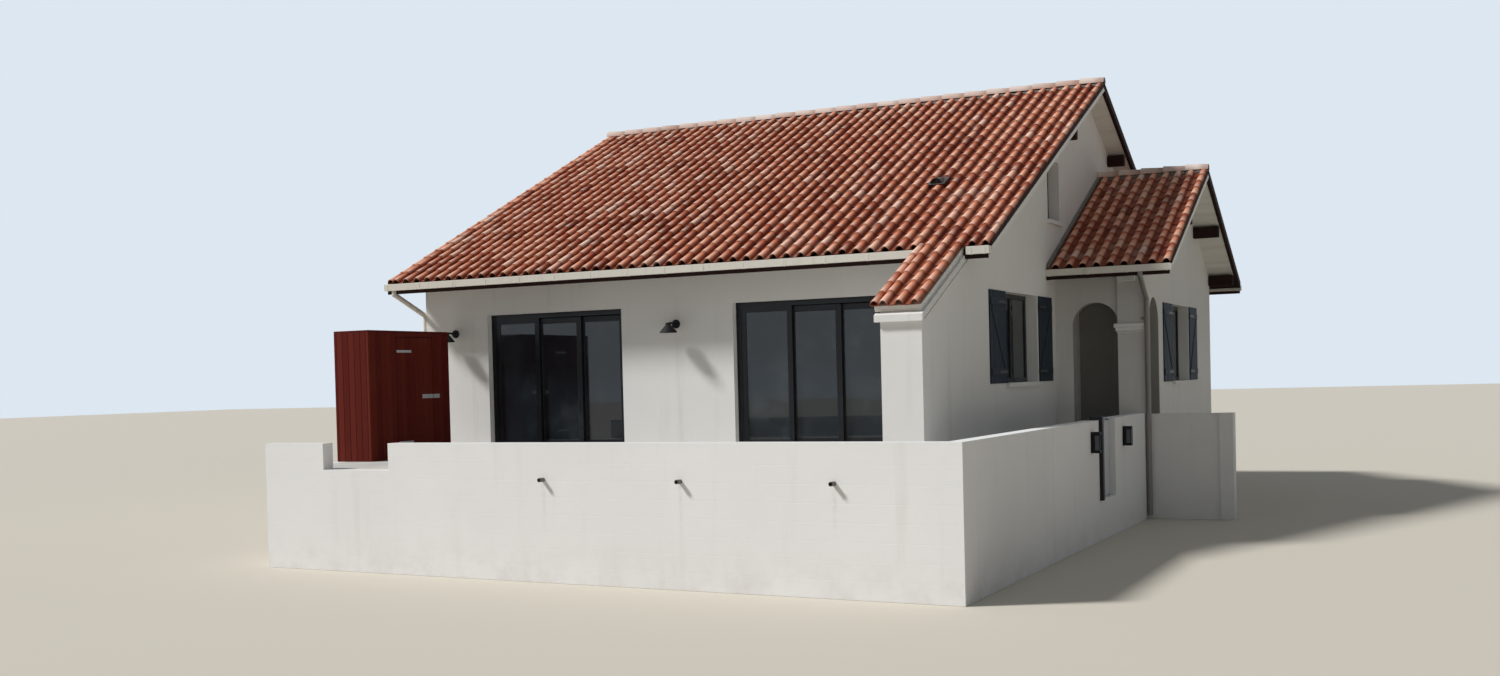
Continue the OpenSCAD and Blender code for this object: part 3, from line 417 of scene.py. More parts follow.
RENDER, RENDER_GRIME, SPLASH_HEIGHT = (0.83, 0.82, 0.79), (0.47, 0.43, 0.37), 0.55
ARCH_T = 0.114
porch_low, porch_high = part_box("wing_front_wall")
PORCH_FACE, PORCH_BACK = porch_low.y + ARCH_T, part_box("porch_back_wall")[1].y


# Painted shade: dark inside the porch, and a lighter band of it high on the wing's outer walls.
def porch_painted_shade(finish):
    x, y, z = finish.x, finish.y, finish.z
    inside = (y.band(PORCH_FACE, PORCH_FACE + 0.002) * (1 - y.band(PORCH_BACK, PORCH_BACK + 0.01))
              * (1 - x.band(porch_high.x - 0.006, porch_high.x - 0.004)))
    return inside * 0.72 + (1 - inside) * z.band(2.0, 3.4) * 0.20


house_render = wall_finish("house_render", RENDER, RENDER_GRIME, SPLASH_HEIGHT)
porch_render_painted_shade = wall_finish("porch_render_painted_shade", RENDER, RENDER_GRIME, SPLASH_HEIGHT, porch_painted_shade)
for finish in (house_render, porch_render_painted_shade):
    finish.bump(finish.noise(210, 3, 0.7) + finish.noise(16, 3) * 1.6, 0.30, 0.004)
dress(house_render, "front_wall_base", "front_wall_left", "front_wall_middle", "front_wall_right",
      "front_lintel", "left_gable_wall", "right_gable_wall", "rear_wall", "buttress_wall",
      "wing_rear_wall")
dress(porch_render_painted_shade, "wing_front_wall", "wing_side_wall", "porch_back_wall")

# %% [markdown]
# The terrace walls are white and smoother. Under the coat the courses of blocks just show, so a
# brick pattern of real block size goes into the bump. The walls run along X and along Y, and the
# sum of the two serves for both. Spray and sand leave the foot a little yellow. Under each drain
# spout the water has left a faint streak, and a joint shows as a line in the side wall.

# %% White terrace walls
SPOUT_XS, SPOUT_Z, JOINT_Y = (3.275, 1.415, -0.445), 1.210, -6.160
STREAK_REACH, JOINT_REACH = 0.045, 0.008


def wall_marks(finish):
    x, y, z = finish.x, finish.y, finish.z
    streaks = sum((x.stripe(spout, STREAK_REACH) for spout in SPOUT_XS), 0)
    streaks = streaks * z.band(0.45, 1.3) * (1 - z.band(SPOUT_Z - 0.04, SPOUT_Z))
    streaks = streaks * (1 - y.band(-8.8, -8.7)) * finish.noise(14, 3).band(0.25, 0.7)
    joint = y.stripe(JOINT_Y, JOINT_REACH) * x.band(4.3, 4.4)
    return streaks * 0.20 + joint * 0.5


white_render = wall_finish("white_render", (0.845, 0.84, 0.83), (0.60, 0.57, 0.52), 0.60,
                           wall_marks)
coursing = white_render.node("ShaderNodeCombineXYZ", inputs={
    "X": white_render.x + white_render.y, "Y": white_render.z})
blocks = white_render.node("ShaderNodeTexBrick", {"offset": 0.5}, {
    "Vector": coursing, "Scale": 1.0, "Mortar Size": 0.006, "Mortar Smooth": 1.0,
    "Brick Width": 0.5, "Row Height": 0.2}, out="Fac")
white_render.bump(white_render.noise(150, 3, 0.65) * 0.7 + white_render.noise(9, 4) * 2.0
                  - blocks * 0.7, 0.28, 0.004)
dress(white_render, "terrace_front_wall", "terrace_side_wall", "gate_wall", "terrace_left_wall",
      "garden_wall")

# %% [markdown]
# Floors and steps are trowelled concrete, with a blotchy grey from the way it dried, and sand
# trodden into it. In the gateway the slab's edge is painted like the wall beside it.

# %% Concrete
concrete = Finish("concrete", (0.55, 0.53, 0.49), roughness=0.85)
blotch = concrete.noise(1.3, 6, 0.65)
sand = concrete.noise(0.7, 5, 0.7).band(0.48, 0.72)
tint = concrete.mix(blotch.band(0.3, 0.7), (0.46, 0.45, 0.43), (0.60, 0.58, 0.54))
tint = concrete.mix(sand * 0.6, tint, (0.68, 0.60, 0.47))
edge_paint = concrete.mix(blotch * 0.3, (0.84, 0.835, 0.82), (0.66, 0.63, 0.58))
gate_wall_low, gate_wall_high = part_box("gate_wall")
in_gateway = concrete.x.band(gate_wall_low.x + 0.001, gate_wall_low.x + 0.002)
concrete.stain(in_gateway, tint, edge_paint, 0.72 + blotch * 0.2)
concrete.bump(concrete.noise(60, 4, 0.7) + blotch * 2.0, 0.3, 0.003)
dress(concrete, "ground_floor", "loft_floor", "wing_floor", "terrace_slab", "entry_steps")

# %% [markdown]
# Each roof tile is one piece of fired clay: a flat pan and a round barrel side by side. The clay
# came out of the kiln in many colours, from dark brown through orange to pale salmon, so the tone
# of each tile picks from a ramp. On top of that lie pale lichen spots. Painted shade darkens the
# pans and each tile's head under the next tile, and a painted highlight lightens its lower crest.

# %% Fired clay
def clay_finish(name, dark, mid, warm, pale, speck):
    finish = Finish(name, mid, roughness=0.85, Specular_IOR_Level=0.2)
    tone, rise, tail = (finish.attribute(name) for name in ("tone", "rise", "tail"))
    fired = finish.noise(5.5, 5, 0.65)
    speckle = finish.noise(46, 3, 0.7).band(0.56, 0.72)
    lichen = finish.noise(13, 5, 0.75).band(0.55, 0.74)
    shade = tone * 0.86 + fired * 0.34 - 0.10
    base = finish.ramp(shade, (0.0, dark), (0.30, mid), (0.62, warm), (0.97, pale))
    base = finish.mix(speckle * 0.35, base, speck)
    base = finish.mix(lichen * (0.18 + rise * 0.40), base, pale)
    # Painted highlight on each tile's lower crest, then painted shade at its head and in its pan.
    base = finish.mix(tail.band(0.30, 1.0) * rise.band(0.3, 1.0) * 0.62, base, pale)
    base = finish.mix((1 - tail).band(0.52, 0.86) * 0.55, base, tuple(c * 0.85 for c in dark))
    base = finish.mix((1 - rise).band(0.30, 0.95) * 0.72, base, tuple(c * 0.60 for c in dark))
    finish.set("Base Color", base)
    finish.set("Roughness", 0.72 + fired * 0.25)
    finish.bump(finish.noise(120, 4, 0.7) + lichen * 0.8, 0.35, 0.003)
    return finish


clay = clay_finish("roof_clay", (0.190, 0.030, 0.010), (0.53, 0.140, 0.066), (0.80, 0.315, 0.180),
                   (0.93, 0.65, 0.52), (0.84, 0.60, 0.48))
cap_clay = clay_finish("cap_clay", (0.36, 0.22, 0.17), (0.56, 0.38, 0.31), (0.68, 0.52, 0.45),
                       (0.80, 0.70, 0.64), (0.76, 0.68, 0.62))
# The mortar's dark grey brown is painted shade for the shadow under the ridge caps.
mortar = Finish("mortar", (0.22, 0.19, 0.165), roughness=0.95)
mortar.stain(mortar.noise(7, 5, 0.7), (0.15, 0.13, 0.11), (0.30, 0.27, 0.235))
mortar.bump(mortar.noise(70, 4, 0.7) + mortar.noise(14, 3), 0.5, 0.006)
print("clay and mortar made")

# %% [markdown]
# Tiles, ridge caps and the vent hood are made the same way. A point spun through half a turn gives
# an arc. The line is extruded, drawn in a little at its head as pressed clay is, and given its
# thickness with solidify. Two numbers on its points tell the clay where to paint light and shade:
# rise is 1 on the crest and 0 in the pan, which gets painted shade, and tail is 1 at the lower end,
# whose crest gets a painted highlight, and 0 under the next tile, where painted shade darkens it.

# %% From a line to a sheet
def half_turn(bm, tip, middle, axis, steps):
    """Spins a point round the middle, which leaves half a circle of edges."""
    bmesh.ops.spin(bm, geom=[tip], axis=axis, cent=middle, dvec=(0, 0, 0), angle=math.pi,
                   steps=steps)


def draw_out(bm, way, shrink, thickness, about=0.0):
    """Extrudes the line along way, draws its head in and makes the sheet solid."""
    swept = bmesh.ops.extrude_edge_only(bm, edges=bm.edges[:])
    head = [part for part in swept["geom"] if isinstance(part, bmesh.types.BMVert)]
    bmesh.ops.translate(bm, verts=head, vec=way)
    bmesh.ops.scale(bm, verts=head, vec=shrink, space=Matrix.Translation((-about, 0, 0)))
    bmesh.ops.recalc_face_normals(bm, faces=bm.faces)
    if sum(face.normal.z * face.calc_area() for face in bm.faces) < 0:
        bmesh.ops.reverse_faces(bm, faces=bm.faces)
    bmesh.ops.solidify(bm, geom=bm.faces[:] + bm.edges[:] + bm.verts[:], thickness=thickness)
    bmesh.ops.recalc_face_normals(bm, faces=bm.faces)


def clay_mesh(bm, name, rise_of, tail_of):
    """The finished mesh, with rise and tail kept on its points."""
    rise, tail = (bm.verts.layers.float.new(layer) for layer in ("rise", "tail"))
    bm.verts.layers.float.new("tone")
    for vert in bm.verts:
        vert[rise], vert[tail] = rise_of(vert.co), tail_of(vert.co)
    mesh = bpy.data.meshes.new(name)
    bm.to_mesh(mesh)
    bm.free()
    triangles = sum(len(face.vertices) - 2 for face in mesh.polygons)
    print("one", name, "has", triangles, "triangles")
    return mesh


# %% [markdown]
# One tile is made once: the half round barrel, and a shallow arc of points beside it for the pan.
# The verge of a roof that starts with a pan is closed by a barrel alone.

# %% One roof tile
TILE_W, TILE_EXPOSED, TILE_LENGTH = 0.2, 0.355, 0.415
BARREL_MIDDLE, BARREL_HALF, BARREL_RISE = 0.140, 0.058, 0.062
TILE_THICK, TILE_TILT = 0.011, 0.016
PAN_LINE = ((0.060, -0.068), (0.030, -0.071), (0.0, -0.068), (-0.012, -0.060))


def tile_mesh(barrel_only=False):
    bm = bmesh.new()
    tip = bm.verts.new((BARREL_MIDDLE - BARREL_HALF, 0, -BARREL_RISE))
    half_turn(bm, tip, (BARREL_MIDDLE, 0, -BARREL_RISE), (0, 1, 0), 8)
    for vert in bm.verts:
        vert.co.z = -BARREL_RISE + (vert.co.z + BARREL_RISE) * BARREL_RISE / BARREL_HALF
    if not barrel_only:
        last = tip
        for u, w in PAN_LINE:
            point = bm.verts.new((u, 0, w))
            bm.edges.new((last, point))
            last = point
    draw_out(bm, (0, TILE_LENGTH, -TILE_TILT), (0.93, 1, 0.96), TILE_THICK, BARREL_MIDDLE)
    return clay_mesh(bm, "tile", lambda co: clamp(1 + co.z / BARREL_RISE),
                     lambda co: 1.0 - co.y / TILE_LENGTH)


tile, verge_tile = tile_mesh(), tile_mesh(barrel_only=True)

# %% [markdown]
# A roof slope is laid in its own axes: u along the eaves, v up the slope and w out of it. One
# matrix turns those axes into the frame's, so a course of tiles is two plain loops. Each tile is
# set a few millimetres and a fraction of a degree off, as hands set them. The boards below the
# tiles are laid in the same axes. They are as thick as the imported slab's rafters and boards.

# %% Slope axes and the tiles on them
MAIN_PITCH, WING_PITCH = math.radians(23.2), math.radians(24.0)
DECK, TILES = 0.100, 0.080
BOARD_W, BOARD_DROP = 0.125, 0.022
BARGE_T, BACK_BARGE_T, EDGE_DROP = 0.022, 0.060, 0.036
LIP = 0.062


def slope_axes(x, y, z, pitch, back=False):
    """u, v and w of a slope whose tiles start at (x, y, z)."""
    side = -1.0 if back else 1.0
    u = Vector((side, 0, 0))
    v = Vector((0, side * math.cos(pitch), math.sin(pitch)))
    w = u.cross(v)
    return Matrix.Translation((x, y, z)) @ Matrix((u, v, w)).transposed().to_4x4()


def lay_tiles(build, axes, columns, courses, exposed, first=0.0):
    """Tiles in columns, given as (u, width), from v = first up the slope."""
    for number in range(courses):
        for u, width in columns:
            dull = 0.5 + 0.5 * math.sin(u * 1.7 + number * 0.6)
            tone = clamp(rng.gauss(0.44 + 0.08 * dull, 0.25))
            nudge = Matrix.Translation((u + rng.uniform(-0.002, 0.002),
                                        first + number * exposed + rng.uniform(-0.004, 0.004),
                                        -rng.uniform(0.0, 0.004)))
            twist = Matrix.Rotation(rng.gauss(0, 0.006), 4, "Z")
            size = Matrix.Diagonal((width / TILE_W, exposed / TILE_EXPOSED, 1, 1))
            build.stamp(tile, axes @ nudge @ twist @ size, tone)


def lay_verge(build, axes, u, courses, exposed, first=0.0):
    """A line of barrels alone, on the edge where a slope starts with a pan."""
    for number in range(courses):
        build.stamp(verge_tile, axes @ Matrix.Translation(
            (u - BARREL_MIDDLE, first + number * exposed, -0.003)), rng.uniform(0.2, 0.9))


def lay_boards(build, axes, u_low, u_high, v_low, v_high):
    """Boards side by side under the tiles, with a groove where two meet."""
    count = round((v_high - v_low) / BOARD_W)
    step = (v_high - v_low) / count
    for number in range(count):
        low = v_low + number * step
        build.block((u_low, low, -TILES - DECK), (u_high, low + step, -TILES - BOARD_DROP), 0.005,
                    rng.random(), axes)


def lay_barge(build, axes, u, v_high, thick, low=-TILES - DECK - 0.004, top=-TILES + 0.022):
    """The upright board that closes a slope at its verge."""
    build.block((u, LIP, low), (u + thick, v_high, top), 0.003, 0.5, axes)


def lay_verge_boards(dark, pale, axes, u, v_high):
    """On a front slope a narrow dark board lies under the tiles as painted shade, and a painted one
    below it.
    """
    lay_barge(dark, axes, u, v_high, BARGE_T, low=-TILES - EDGE_DROP)
    lay_barge(pale, axes, u + 0.002, v_high, BARGE_T - 0.002, top=-TILES - EDGE_DROP)


# %% [markdown]
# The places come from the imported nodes' boxes, so the tiles follow the model. The main slope has 23
# courses and 48 columns, counted in the photograph. The low strip over the buttress wall carries
# three of those columns on for six more courses.

# %% Main roof
slope_low, slope_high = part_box("main_roof_front")
ridge_y, ridge_z, strip_y = slope_high.y, slope_high.z, slope_low.y
verge_left, verge_right = slope_low.x, slope_high.x
eave_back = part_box("main_roof_back")[1].y
eave_front = 2 * ridge_y - eave_back
eave_z = ridge_z - (ridge_y - eave_front) * math.tan(MAIN_PITCH)
slope_length = (ridge_y - eave_front) / math.cos(MAIN_PITCH)
WALL_T, STRIP_W = 0.300, 0.600
gable_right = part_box("right_gable_wall")[0].x + WALL_T
strip_left = gable_right - STRIP_W
COURSES, STRIP_COURSES = 23, 6
HEAD_ROOM, BOARD_END = 0.045, 0.004
course = (slope_length - HEAD_ROOM) / COURSES
print("slope", round(slope_length, 3), "course", round(course, 4))

PAN_LIP, BARREL_LIP, VERGE_CREST, STRIP_CREST = 0.023, 0.010, 0.070, 0.030


def split_columns(low, high, count):
    width = (high - low) / count
    return [(low + i * width, width) for i in range(count)]


strip_part = split_columns(strip_left, gable_right, 3)
columns = (split_columns(verge_left + PAN_LIP, strip_left, 43) + strip_part
           + split_columns(gable_right, verge_right - BARREL_LIP, 2))

front_axes = slope_axes(0, eave_front, eave_z, MAIN_PITCH)
front_tiles = Build()
lay_tiles(front_tiles, front_axes, columns, COURSES, course)
lay_verge(front_tiles, front_axes, verge_left + VERGE_CREST, COURSES, course)
strip_v = (strip_y - eave_front) / math.cos(MAIN_PITCH)
strip_laid = (STRIP_COURSES, -strip_v / STRIP_COURSES, strip_v)
lay_tiles(front_tiles, front_axes, strip_part, *strip_laid)
lay_verge(front_tiles, front_axes, strip_left + STRIP_CREST, *strip_laid)
front_tiles.piece("main_front_tiles", clay, replaces=["main_roof_front"], slot="clay_tile")

back_axes = slope_axes(0, eave_back, eave_z, MAIN_PITCH, back=True)
back_tiles = Build()
back_columns = split_columns(PAN_LIP - verge_right, -verge_left - BARREL_LIP, 48)
lay_tiles(back_tiles, back_axes, back_columns, COURSES, course)
lay_verge(back_tiles, back_axes, -verge_right + VERGE_CREST, COURSES, course)
back_tiles.piece("main_back_tiles", clay, replaces=["main_roof_back"], slot="clay_tile")

# %% [markdown]
# The store is painted a dark red brown. The paint is old: the grain stands out, the edges are
# rubbed and each board has faded a little differently. The purlins are stained almost black
# instead, and so are the boards at the edges of the roofs, whose near black is also painted shade.
# A noise that is long along the board and fine across it is the usual way to draw grain.

# %% Maroon and dark timber
def timber_finish(name, colour, faded, bare, roughness=0.6, gloss=0.1, grain_scale=(60, 60, 1.5)):
    """Painted boards. The grain runs along the axis with the smallest scale."""
    finish = Finish(name, colour, roughness=roughness, Specular_IOR_Level=gloss)
    grain = finish.noise(1.0, 5, 0.7, finish.stretched(*grain_scale))
    patch = finish.noise(2.2, 4, 0.6)
    tint = finish.mix(finish.attribute("tone"), colour, faded)
    tint = finish.mix(patch.band(0.45, 0.75) * 0.4, tint, faded)
    finish.stain((grain * patch).band(0.30, 0.42) * 0.35, tint, bare, roughness - 0.1 + grain * 0.3)
    finish.bump(grain, 0.35, 0.002)
    return finish


maroon = timber_finish("maroon_boards", (0.092, 0.0085, 0.0060), (0.140, 0.020, 0.011),
                       (0.16, 0.045, 0.026))
dark_board = timber_finish("dark_boards", (0.022, 0.012, 0.011), (0.040, 0.020, 0.018),
                           (0.070, 0.040, 0.032), 0.75, 0.08, grain_scale=(1.5, 60, 60))

# %% [markdown]
# Below the tiles the boards at the gables are painted like the walls. Paint on old boards shows
# the grain through it. The boards at the eaves, the fascia that carries the gutter and the barge
# boards at the verges are the stained ones, and draw a thin dark line round each roof. That line
# is part stain and part painted shade for the shadow under the tile edges and the eaves.

# %% Boards under the tiles
soffit = Finish("soffit_paint", (0.78, 0.76, 0.71), roughness=0.6)
grain = soffit.noise(1.0, 5, 0.7, soffit.stretched(1.2, 26.0, 26.0))
tint = soffit.mix(soffit.attribute("tone"), (0.72, 0.70, 0.65), (0.81, 0.79, 0.74))
soffit.stain(grain.band(0.5, 0.8) * 0.25, tint, (0.52, 0.47, 0.40))
soffit.bump(grain, 0.25, 0.002)

top_v = slope_length - (TILES + DECK) * math.tan(MAIN_PITCH)
EAVE_V = 0.60
FASCIA_T, FASCIA_DROP, FASCIA_TOP, HANG_GAP = 0.022, 0.055, 0.020, 0.001


def lay_fascia(build, x_low, x_high, gutter, behind, side):
    """The board a gutter hangs on. behind is the Y of the gutter's back, side is 1 at the front."""
    near, far = sorted((behind + side * HANG_GAP, behind + side * (HANG_GAP + FASCIA_T)))
    build.block((x_low, near, gutter[0].z - FASCIA_DROP), (x_high, far, gutter[1].z - FASCIA_TOP),
                0.003)


boards, dark = Build(), Build()
main_gutter, rear_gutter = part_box("main_gutters"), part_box("rear_gutter")
for axes, low, high, thick in ((front_axes, verge_left, verge_right, BARGE_T),
                               (back_axes, -verge_right, -verge_left, BACK_BARGE_T)):
    lay_boards(dark, axes, low + thick, high - thick, LIP, EAVE_V)
    lay_boards(boards, axes, low + thick, high - thick, EAVE_V, top_v)
    for u in (low, high - thick):
        if thick == BARGE_T:
            lay_verge_boards(dark, boards, axes, u, slope_length - BOARD_END)
        else:
            lay_barge(dark, axes, u, slope_length - BOARD_END, thick)
lay_boards(boards, front_axes, strip_left + 0.004, gable_right - 0.004, strip_v + LIP, LIP)
board_left, board_right = verge_left + BARGE_T, verge_right - BARGE_T
for x_low, x_high in ((board_left, strip_left), (gable_right + 0.01, board_right)):
    lay_fascia(dark, x_low, x_high, main_gutter, eave_front, 1)
lay_fascia(dark, board_left, board_right, rear_gutter, eave_back, -1)
boards.piece("main_roof_boards", soffit, slot="cream_render")
dark.piece("main_edge_boards", dark_board, slot="maroon_timber")

# %% [markdown]
# The wing's roof is laid the same way, 9 columns wide. Where it runs into the gable wall a fillet
# of mortar closes the joint.

# %% Wing roof
wing_low, wing_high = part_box("wing_roof_front")
wing_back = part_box("wing_roof_back")[1].y
wing_length = (wing_high.y - wing_low.y) / math.cos(WING_PITCH)
wing_eave_z = wing_high.z - (wing_high.y - wing_low.y) * math.tan(WING_PITCH)
WING_COURSES, WING_COLUMNS = 13, 9
wing_course = (wing_length - HEAD_ROOM) / WING_COURSES
wing_columns = split_columns(wing_low.x, wing_high.x - BARREL_LIP, WING_COLUMNS)
wing_back_columns = split_columns(PAN_LIP - wing_high.x, -wing_low.x, WING_COLUMNS)
wing_front_axes = slope_axes(0, wing_low.y, wing_eave_z, WING_PITCH)
wing_back_axes = slope_axes(0, wing_back, wing_eave_z, WING_PITCH, back=True)

wing_tiles = Build()
lay_tiles(wing_tiles, wing_front_axes, wing_columns, WING_COURSES, wing_course)
wing_tiles.piece("wing_front_tiles", clay, replaces=["wing_roof_front"], slot="clay_tile")
wing_tiles = Build()
lay_tiles(wing_tiles, wing_back_axes, wing_back_columns, WING_COURSES, wing_course)
lay_verge(wing_tiles, wing_back_axes, -wing_high.x + VERGE_CREST, WING_COURSES, wing_course)
wing_tiles.piece("wing_back_tiles", clay, replaces=["wing_roof_back"], slot="clay_tile")

wing_boards, wing_dark = Build(), Build()
wing_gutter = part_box("wing_gutters")
wing_top = wing_length - (TILES + DECK) * math.tan(WING_PITCH)
verge_x = wing_high.x - BARGE_T
for axes, low, high in ((wing_front_axes, wing_low.x + 0.002, verge_x),
                        (wing_back_axes, -wing_high.x + BACK_BARGE_T, -wing_low.x - 0.002)):
    lay_boards(wing_dark, axes, low, high, LIP, EAVE_V)
    lay_boards(wing_boards, axes, low, high, EAVE_V, wing_top)
lay_verge_boards(wing_dark, wing_boards, wing_front_axes, verge_x, wing_length - BOARD_END)
lay_barge(wing_dark, wing_back_axes, -wing_high.x, wing_length - BOARD_END, BACK_BARGE_T)
for behind, side in ((wing_low.y, 1), (wing_back, -1)):
    lay_fascia(wing_dark, wing_low.x + 0.002, verge_x, wing_gutter, behind, side)
wing_boards.piece("wing_roof_boards", soffit, slot="cream_render")
wing_dark.piece("wing_edge_boards", dark_board, slot="maroon_timber")

FILLET_W = 0.045
fillet = Build()
for axes, u in ((wing_front_axes, wing_low.x), (wing_back_axes, -wing_low.x - FILLET_W)):
    fillet.block((u, 0.02, -0.085), (u + FILLET_W, wing_length - 0.02, -0.004), 0.018, 0.5, axes)
fillet.piece("wall_fillet", mortar, slot="cream_render")

# %% [markdown]
# The ridges are covered with half-round caps, each lapping the next, bedded on mortar. A cap is
# an arc drawn out like a tile.

# %% Ridge caps
CAP_LENGTH, CAP_EXPOSED, CAP_RADIUS, CAP_LAP = 0.45, 0.40, 0.108, 0.05
BED_HALF = 0.10


def cap_mesh():
    bm = bmesh.new()
    half_turn(bm, bm.verts.new((0, CAP_RADIUS, 0)), (0, 0, 0), (1, 0, 0), 10)
    draw_out(bm, (CAP_LENGTH, 0, 0), (1, 0.86, 0.86), 0.013)
    return clay_mesh(bm, "cap", lambda co: 0.55 + 0.45 * abs(co.z) / CAP_RADIUS,
                     lambda co: 1.0 - co.x / CAP_LENGTH)


def lay_caps(build, bed, x_low, x_high, y, crest_z):
    """Caps from x_low to x_high with their crest at crest_z, on a bed of mortar."""
    count = round((x_high - x_low) / CAP_EXPOSED)
    step = (x_high - x_low) / count
    z = crest_z - CAP_RADIUS
    for number in range(count):
        room = step if number == count - 1 else step + CAP_LAP
        turn = Matrix.Rotation(rng.gauss(0, 0.012), 4, "X") @ Matrix.Rotation(0.022, 4, "Y")
        size = Matrix.Diagonal((room / CAP_LENGTH, 1, 1, 1))
        build.stamp(cap, Matrix.Translation((x_low + number * step, y, z)) @ turn @ size,
                    clamp(rng.gauss(0.6, 0.2)))
        bed.block((x_low + number * step, y - BED_HALF, z - 0.085),
                  (x_low + (number + 1) * step, y + BED_HALF, z - 0.012 - rng.uniform(0, 0.01)),
                  0.02, 0.5)


cap = cap_mesh()
caps, bed = Build(), Build()
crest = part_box("ridge_tiles")[1].z - 0.004
lay_caps(caps, bed, verge_left + 0.002, verge_right - 0.002, ridge_y, crest)
lay_caps(caps, bed, wing_low.x + 0.002, wing_high.x - 0.002, wing_high.y,
         wing_high.z + crest - ridge_z)
caps.piece("ridge_caps", cap_clay, replaces=["ridge_tiles"], slot="clay_tile")
bed.piece("ridge_mortar", mortar, slot="cream_render")

# %% [markdown]
# The purlins end under the verges. A sawn end is chamfered, so each block gets a bevel that is
# wide enough to catch the light.

# %% Purlins with chamfered ends
CHAMFER = 0.012


def purlin_places():
    """Each purlin's box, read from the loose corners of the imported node."""
    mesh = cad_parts["purlins"].data
    bm = bmesh.new()
    bm.from_mesh(mesh)
    bmesh.ops.remove_doubles(bm, verts=bm.verts, dist=1e-5)
    seen = set()
    for vert in bm.verts:
        if vert in seen:
            continue
        group, fresh = {vert}, [vert]
        while fresh:
            step = fresh.pop()
            for edge in step.link_edges:
                other = edge.other_vert(step)
                if other not in group:
                    group.add(other)
                    fresh.append(other)
        seen |= group
        yield (Vector(min(v.co[i] for v in group) for i in range(3)),
               Vector(max(v.co[i] for v in group) for i in range(3)))
    bm.free()


beams = Build()
places = list(purlin_places())
for low, high in places:
    beams.block(low, high, CHAMFER, rng.random())
beams.piece("purlin_ends", dark_board, replaces=["purlins"], slot="maroon_timber")
print(len(places), "purlins")

# %% [markdown]
# High on the front slope a small hood lets air out of the loft: an arc drawn in towards its head,
# like a tile, over a slot with three bars, on a plate of lead.

# %% Vent hood in the roof
lead = Finish("lead", (0.060, 0.055, 0.052), roughness=0.6, Metallic=0.4)
bloom = lead.noise(9, 5, 0.7)
lead.stain(bloom.band(0.35, 0.7), (0.030, 0.024, 0.022), (0.085, 0.070, 0.062),
           0.5 + bloom * 0.3)
lead.bump(bloom, 0.3, 0.004)
VENT_X, VENT_UP = 2.22, 2.73
VENT_R, VENT_LENGTH = 0.085, 0.26

hood = bmesh.new()
half_turn(hood, hood.verts.new((-VENT_R, 0, 0)), (0, 0, 0), (0, 1, 0), 10)
draw_out(hood, (0, VENT_LENGTH, 0), (0.7, 1, 0.15), 0.008)
vent = Build()
seat = front_axes @ Matrix.Translation((VENT_X, VENT_UP, 0.004))
vent.add(hood, seat)
vent.block((-0.13, -0.03, -0.012), (0.13, VENT_LENGTH + 0.05, 0.0), 0.004, 0.5, seat)
for u in (-0.070, -0.020, 0.030):
    vent.block((u, 0.03, 0.0), (u + 0.04, 0.05, 0.05), 0.002, 0.5, seat)
vent.piece("roof_vent", lead, slot="clay_tile")

# %% [markdown]
# The corner pier carries a capital at the springing line, and a corbel under the eaves. Their coat
# is whiter than the wall, a painted highlight for the light the mouldings catch. Their packed blocks
# get a thin coat with softer edges, and the coat of the corbel runs down to where the eaves no
# longer hide it.

# %% Capital and corbel
# The trim's coat is whiter than the wall render as a painted highlight.
trim_painted_highlight = Finish("trim_painted_highlight", (0.87, 0.865, 0.85), roughness=0.75)
smut = trim_painted_highlight.noise(7, 5, 0.7).band(0.5, 0.8)
trim_painted_highlight.stain(smut * 0.3, (0.88, 0.875, 0.86), (0.60, 0.57, 0.52))
trim_painted_highlight.bump(trim_painted_highlight.noise(140, 3) + trim_painted_highlight.noise(20, 3), 0.2, 0.003)
SPRING_Z, PIER_W, CAP_H, CAP_OUT, CAP_BACK = 3.030, 0.400, 0.110, 0.050, 0.250
CORBEL_W, CORBEL_OUT, CORBEL_LOW, CORBEL_TOP = 0.270, 0.025, 3.690, 3.972
COAT = 0.004
pier_x, pier_y = porch_high.x - PIER_W, porch_low.y + CAP_OUT
mould = Build()
for step, edge, top in ((1, 0.010, COAT), (2, 0.008, -0.02)):
    out = CAP_OUT / step + COAT
    mould.block((pier_x - out, pier_y - out, SPRING_Z - CAP_H * step / 2 - COAT),
                (porch_high.x + COAT, pier_y + CAP_BACK, SPRING_Z + top), edge)
mould.block((pier_x - CAP_OUT * 0.2, pier_y - 0.014, SPRING_Z - CAP_H - 0.030),
            (porch_high.x + COAT, pier_y + CAP_BACK, SPRING_Z - CAP_H - 0.012), 0.004)
mould.block((pier_x - COAT, pier_y - CORBEL_OUT - COAT, CORBEL_LOW),
            (pier_x + CORBEL_W + COAT, pier_y + 0.1, CORBEL_TOP), 0.008)
print("pier from", round(pier_x, 3), "to", round(porch_high.x, 3), "springing", SPRING_Z)
mould.piece("pier_mouldings", trim_painted_highlight, slot="cream_render")

# %% [markdown]
# The gutters and downpipes are sheet metal painted cream, with streaks where rain runs over. The
# downpipe at the wing's corner is dark grey instead, painted shade for the shadow in that corner:
# the finish tells it by its place along X. The packed gutters have the right box section. What they
# lack is the rolled bead along the front rim and the brackets, which are added as one more piece.

# %% Gutters, beads and brackets
def metal_paint(name, colour, first_streak):
    """Painted sheet metal, and the streaks that rain has left on it."""
    finish = Finish(name, colour, roughness=0.45)
    streaks = finish.noise(1.0, 4, 0.6, finish.stretched(9, 9, 0.6)).band(first_streak, 0.78)
    finish.set("Roughness", 0.38 + streaks * 0.3)
    finish.bump(finish.noise(8, 3), 0.15, 0.003)
    return finish, streaks


